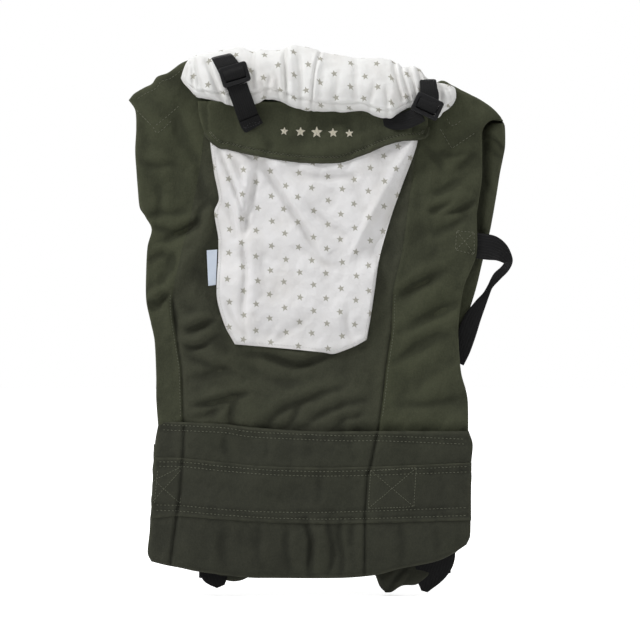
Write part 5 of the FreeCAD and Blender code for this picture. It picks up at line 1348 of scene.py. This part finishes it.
# waist webbing: sewn down the wing, folded back on itself as a tip below
for side, xm, z0, z1, body in (("left", -102.0, -3.0, 57.4, "wing_left"), ("right", 127.0, 2.0, 101.0, "wing_right")):
    pts = [(xm, 26.2, z1), (xm, 26.6, z1 - 20), (xm, 26.4, z0 + 26), (xm, 26.3, z0 + 8), (xm, 25.5, z0 + 1.4), (xm, 24.0, z0 + 1.0), (xm, 23.2, z0 + 8), (xm, 23.3, z0 + 26), (xm, 23.4, z0 + 46)]
    add(ribbon("waist_webbing_%s_tape" % side, pts, [(1, 0, 0)] * len(pts), 38, thick=1.6, step=1.6, segs=20), WEB, body, ["waist_webbing_" + side])
# the ends that peek out below the belt in the front view
tipl = [(-104.0, 12.6), (-105.0, 1.1), (-100.8, -9.5), (-95.5, -10.5), (-89.2, -5.2)]
add(ribbon("waist_tail_left", [(-107.0, 14.5, 24.0), (-104.5, 13.0, 6.0), (-100.5, 12.2, -3.5), (-97.5, 12.4, -10.6)], [arr([0.90, 0, -0.42])] * 2 + [arr([0.86, 0, -0.50])] * 2, [31, 31, 23, 9], thick=1.7, step=1.5, segs=16), WEB, "wing_left", [])
add(ribbon("waist_tail_right", [(130.5, 10.4, 34.0), (128.0, 9.8, 17.0), (121.5, 9.4, -1.5), (117.5, 9.6, -15.6)], [arr([0.93, 0, 0.30]), arr([0.93, 0, 0.36]), arr([0.90, 0, 0.42]), arr([0.93, 0, 0.3])], [41, 41, 28, 7], thick=1.7, step=1.5, segs=20), WEB, "wing_right", [])
lo, hi = box_of("elastic_keeper")
kx, kz = (lo[0] + hi[0]) / 2, (lo[2] + hi[2]) / 2
loop = []
for k in range(33):
    a = 2 * math.pi * k / 32
    loop.append((kx + 20.8 * math.copysign(abs(math.cos(a)) ** 0.35, math.cos(a)), (lo[1] + hi[1]) / 2 + 1.7 * math.copysign(abs(math.sin(a)) ** 0.6, math.sin(a)), kz))
add(ribbon("elastic_keeper_band", loop[:-1] + [loop[0]], [(0, 0, 1)] * 33, 10, thick=0.9, step=1.0, smooth_path=False, segs=8), ELASTIC, "wing_right", ["elastic_keeper"])

# ------------------------------------------------------------------ moulded fittings keep their CAD shape
for name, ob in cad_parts.items():
    if any(k in name for k in ("slider", "lock", "slide", "socket", "plug", "latch")):
        give(ob, PLASTIC)
        set_smooth_angle(ob, 32)
        pass

# ------------------------------------------------------------------ sewing
main = Stitches()
for row in BELT_ROWS:
    main.run(on(F_belt, shift(row, 0)[2:-2]), length=2.3, gap=1.7, r=0.30)
for row in BAND_ROWS:
    main.run(on(F_band, shift(row, 0)[2:-2]), length=2.3, gap=1.7, r=0.30)
def box_x(st, surf, c, **kw):
    """A square of stitching with its two diagonals."""
    a, b, d, e = c
    for seg in ((a, b), (b, d), (d, e), (e, a), (a, d), (b, e)):
        st.run(on(surf, [seg[0], seg[1]]), **kw)


for seg in ([(-164.8, 104.0), (-138.1, 117.1)], [(-138.1, 117.1), (-139.0, 78.8)], [(-167.0, 104.0), (-139.2, 78.8)], [(-168.0, 80.9), (-138.6, 113.4)], [(-162.8, 113.4), (-165.9, 78.8)]):
    main.run(on(F_band, seg), length=2.1, gap=0.9, r=0.26)
box_x(main, F_band, [(60.4, 113.4), (108.2, 116.0), (105.5, 75.6), (57.8, 73.5)], length=2.1, gap=0.9, r=0.26)
for s_, d_ in ((SEAM_L, -2.6), (SEAM_R, 2.6)):
    c_ = shift(s_, -d_)
    c_ = c_[(c_[:, 1] > 168) & (c_[:, 1] < 300)]
    main.run(on(F_panel, c_), length=2.1, gap=1.2, r=0.22)
# shoulder reinforcement
main.run(on(F_panel, [(-185.2, 490.9), (-169.1, 474.6)]), length=2.6)
main.run(on(F_panel, [(-165.2, 474.6), (-152.2, 485.1), (-140.4, 495.6)]), length=2.6)
main.run(on(F_panel, [(-168.0, 473.6), (-162.8, 467.2), (-148.1, 479.9)]), length=2.6)
main.run(on(F_panel, [(133.3, 471.5), (142.8, 455.1), (146.0, 451.0)]), length=2.6)
main.run(on(F_panel, [(146.0, 451.0), (157.5, 458.9), (170.1, 467.2)]), length=2.6)
main.run(on(F_panel, [(139.7, 483.0), (146.0, 474.6), (155.4, 479.9)]), length=2.6)
box_x(main, F_panel, [(150.7, 364.4), (169.1, 362.8), (169.1, 339.7), (149.4, 344.4)], length=2.5)
top_l = shift(TOP_L, -7.0)
main.run(on(F_panel, top_l[3:-6]), length=2.7, r=0.26)
main.build_name = None
add(main.build("panel_stitching"), THREAD, "main", [])

white = Stitches()
inner_p = dense(P_L[:-1], 2)
white.run(on(F_pouch, shift(P_L[:-1], -3.0)), length=2.4, gap=0.9, r=0.24)
white.run(on(F_pouch, shift(P_B, 3.4)[2:-2]), length=2.4, gap=0.9, r=0.24)
white.run(on(F_pouch, shift(P_R[:-1], 3.0)), length=2.4, gap=0.9, r=0.24)
add(white.build("pocket_stitching"), THREAD_WHITE, "main", [])

fl = Stitches()
edge = dense(FL_L[2::-1] + FL_B[1:] + FL_R[1:3], 2.0)
for off in (4.2, 5.6):
    fl.run(on(F_flap, shift(edge, off)[2:-2]), length=2.6, gap=0.9, r=0.25)
add(fl.build("flap_topstitching"), THREAD, None, [], bend=FLAP_BEND)

# a small plain row of embroidered stars on the flap
emb = Stitches()
for i, (cx, rad) in enumerate(((-30, 4.6), (-13, 5.4), (4, 6.4), (21, 5.4), (38, 4.6))):
    cz0 = 466.8 - 0.035 * cx
    pts = []
    for k in range(10):
        a = math.pi / 2 + k * math.pi / 5 + 0.05 * (i - 2)
        q = rad if k % 2 == 0 else rad * 0.45
        pts.append((cx + q * math.cos(a), cz0 + q * math.sin(a)))
    poly = arr(pts)
    nxt = np.roll(poly, -1, 0)
    zz = cz0 - rad + 0.2
    while zz < cz0 + rad:
        hit = []
        for a, b in zip(poly, nxt):
            if (a[1] - zz) * (b[1] - zz) < 0:
                hit.append(a[0] + (zz - a[1]) / (b[1] - a[1]) * (b[0] - a[0]))
        hit.sort()
        for h0, h1 in zip(hit[::2], hit[1::2]):
            if h1 - h0 > 0.5:
                n = max(1, int(round((h1 - h0) / 3.0)))
                L_ = (h1 - h0) / n
                for j in range(n):
                    seg = [(h0 + j * L_, zz), (h0 + (j + 1) * L_, zz + 0.04)]
                    p3 = on(F_flap, seg)
                    mid3 = (p3[0] + p3[-1]) / 2
                    emb.c.append(mid3[None] + arr([[0, -0.25, 0]])); emb.t.append(arr([[1, 0, 0]]) + 0 * mid3[None]); emb.n.append(arr([[0, -1, 0]]) + 0 * mid3[None])
                    emb.l.append(arr([L_ * 1.04])); emb.r.append(arr([0.30]))
        zz += 0.46
add(emb.build("flap_star_row"), CREAM, None, [], bend=FLAP_BEND)

# straps, wings and lining rows on the back
BACK_N = (0, 1, 0)


def on_back(surface, pts):
    p = dense(pts, 1.2)
    return np.stack([p[:, 0], surface(p[:, 0], p[:, 1]), p[:, 1]], -1)


for nm, body, seed, rows, base in (("strap_left", "strap_left", 72, rows_l, 21.2), ("strap_right", "strap_right", 82, rows_r, 21.2), ("wing_left", "wing_left", 102, rows_wl, 21.8), ("wing_right", "wing_right", 112, rows_wr, 21.8)):
    st = Stitches()
    surf = pad_back(seed, rows, base=base, flat=FLAT[nm[0] + nm.split("_")[1][0]])
    for row in rows:
        st.run(on_back(surf, [tuple(q) for q in arr(row)][::1] if len(row) < 12 else arr(row)), normal=BACK_N, length=3.0, gap=1.1, r=0.28)
    if nm.startswith("strap"):
        xm = -107.0 if nm.endswith("left") else 122.0
        c4 = [(xm - 11, 222), (xm + 11, 222), (xm + 11, 242), (xm - 11, 242)]
        box_x_pts = ((c4[0], c4[1]), (c4[1], c4[2]), (c4[2], c4[3]), (c4[3], c4[0]), (c4[0], c4[2]), (c4[1], c4[3]))
        for a, b in box_x_pts:
            st.run(on_back(surf, [a, b]), normal=BACK_N, length=2.6, gap=1.0, r=0.28)
    add(st.build(nm + "_stitching"), THREAD, body, [])
ls = Stitches()
for row in LINING_ROWS:
    ls.run(on_back(B_lining, row), normal=BACK_N, length=3.0, gap=1.1, r=0.26)
for row in ([(-165, 100), (0, 98), (160, 96)], [(-165, 56), (0, 52), (160, 54)]):
    ls.run(on_back(B_belt, row), normal=BACK_N, length=3.0, gap=1.1, r=0.26)
add(ls.build("lining_stitching"), THREAD, "main", [])

# black sewing on the webbing
bs = Stitches()
o = arr([-62.6, -25.6, 471.4])
for (u0, v0), (u1, v1) in (((-8.5, 2.2), (8.5, 2.2)), ((8.5, 2.2), (8.5, 11.0)), ((8.5, 11.0), (-8.5, 11.0)), ((-8.5, 11.0), (-8.5, 2.2)), ((-8.5, 2.2), (8.5, 11.0)), ((8.5, 2.2), (-8.5, 11.0))):
    ux, vz = arr([0.945, 0, 0.325]), arr([-0.325, -0.42, 0.85])
    a, b = o + ux * u0 + vz * v0, o + ux * u1 + vz * v1
    bs.run(np.stack([a, b]) + arr([0, -1.3, 0]), length=2.0, gap=0.8, r=0.26)
add(bs.build("hood_strap_sewing"), THREAD_BLACK, None, [], bend=HOOD_BEND)

# ------------------------------------------------------------------ CAD strap tabs that are still shown get the webbing material
LEFT = {"side_webbing_left": WEB}
for name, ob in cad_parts.items():
    if not ob.data.materials or ob.data.materials[0] is None or ob.data.materials[0].name.split(".")[0] not in ("black_plastic",):
        if ob.hide_render is False and name in ("strap_tab_left", "strap_tab_right"):
            give(ob, WEB)

# ------------------------------------------------------------------ floor, light, camera
fz = CAD_BOX[0][2] - 0.0015
me = bpy.data.meshes.new("floor_plain")
me.from_pydata([(-9, -9, fz), (9, -9, fz), (9, 9, fz), (-9, 9, fz)], [], [(0, 1, 2, 3)])
floor = bpy.data.objects.new("floor_plain", me)
scene.collection.objects.link(floor)
k = Nodes("studio_white")
obj = k.coord()
ray = k.t.nodes.new("ShaderNodeLightPath")
k.put(k.b.inputs["Base Color"], k.mix(k.math("MULTIPLY", k.noise(obj, 3.0, 2.0), 0.12), srgb(250, 250, 250), srgb(242, 242, 242)))
k.b.inputs["Roughness"].default_value = 0.95
k.b.inputs["Specular IOR Level"].default_value = 0.0
k.b.inputs["Emission Color"].default_value = (1, 1, 1, 1)
ln = k.t.nodes.new("ShaderNodeVectorMath")
ln.operation = "LENGTH"
k.link(obj, ln.inputs[0])
far = k.ramp(ln.outputs["Value"], 0.35, 1.3)
k.put(k.b.inputs["Emission Strength"], k.math("MULTIPLY", ray.outputs["Is Camera Ray"], k.math("MULTIPLY_ADD", far, 0.45, 0.62)))
give(floor, k.m)


def area(name, at_, to, size, power, color=(1, 1, 1)):
    L = bpy.data.lights.new(name, "AREA")
    L.shape = "RECTANGLE"
    L.size, L.size_y = size
    L.energy = power
    L.color = color
    o = bpy.data.objects.new(name, L)
    o.location = at_
    d = Vector(to) - Vector(at_)
    o.rotation_euler = d.to_track_quat("-Z", "Y").to_euler()
    scene.collection.objects.link(o)
    return o


area("key_soft", (-1.7, -1.25, 2.1), (0, 0, 0.28), (0.8, 0.7), 34)
area("fill_soft", (2.2, -1.5, 0.9), (0, 0, 0.25), (1.2, 1.2), 5)
area("top_soft", (0.4, -0.6, 2.2), (0, 0, 0.3), (1.2, 0.7), 12)
area("back_soft", (-0.6, 2.0, 1.7), (0, 0, 0.3), (2.0, 1.2), 26)
world = bpy.data.worlds.new("studio")
scene.world = world
world.use_nodes = True
bg = world.node_tree.nodes["Background"]
bg.inputs[0].default_value = (1, 1, 1, 1)
lp = world.node_tree.nodes.new("ShaderNodeLightPath")
mx = world.node_tree.nodes.new("ShaderNodeMath")
mx.operation = "MULTIPLY_ADD"
mx.inputs[1].default_value = 1.0 - 0.31
mx.inputs[2].default_value = 0.31
world.node_tree.links.new(lp.outputs["Is Camera Ray"], mx.inputs[0])
world.node_tree.links.new(mx.outputs[0], bg.inputs[1])
scene.view_settings.view_transform = "Standard"
scene.view_settings.look = "None"
scene.view_settings.exposure = 0.0
scene.view_settings.gamma = 1.0

cam = bpy.data.cameras.new("camera")
cam.sensor_width = 36.0
cam.lens = 160.71
camera = bpy.data.objects.new("camera", cam)
camera.location = (0.00735, -3.006, 0.2709)
camera.rotation_euler = (math.radians(90), 0, 0)
scene.collection.objects.link(camera)
scene.camera = camera
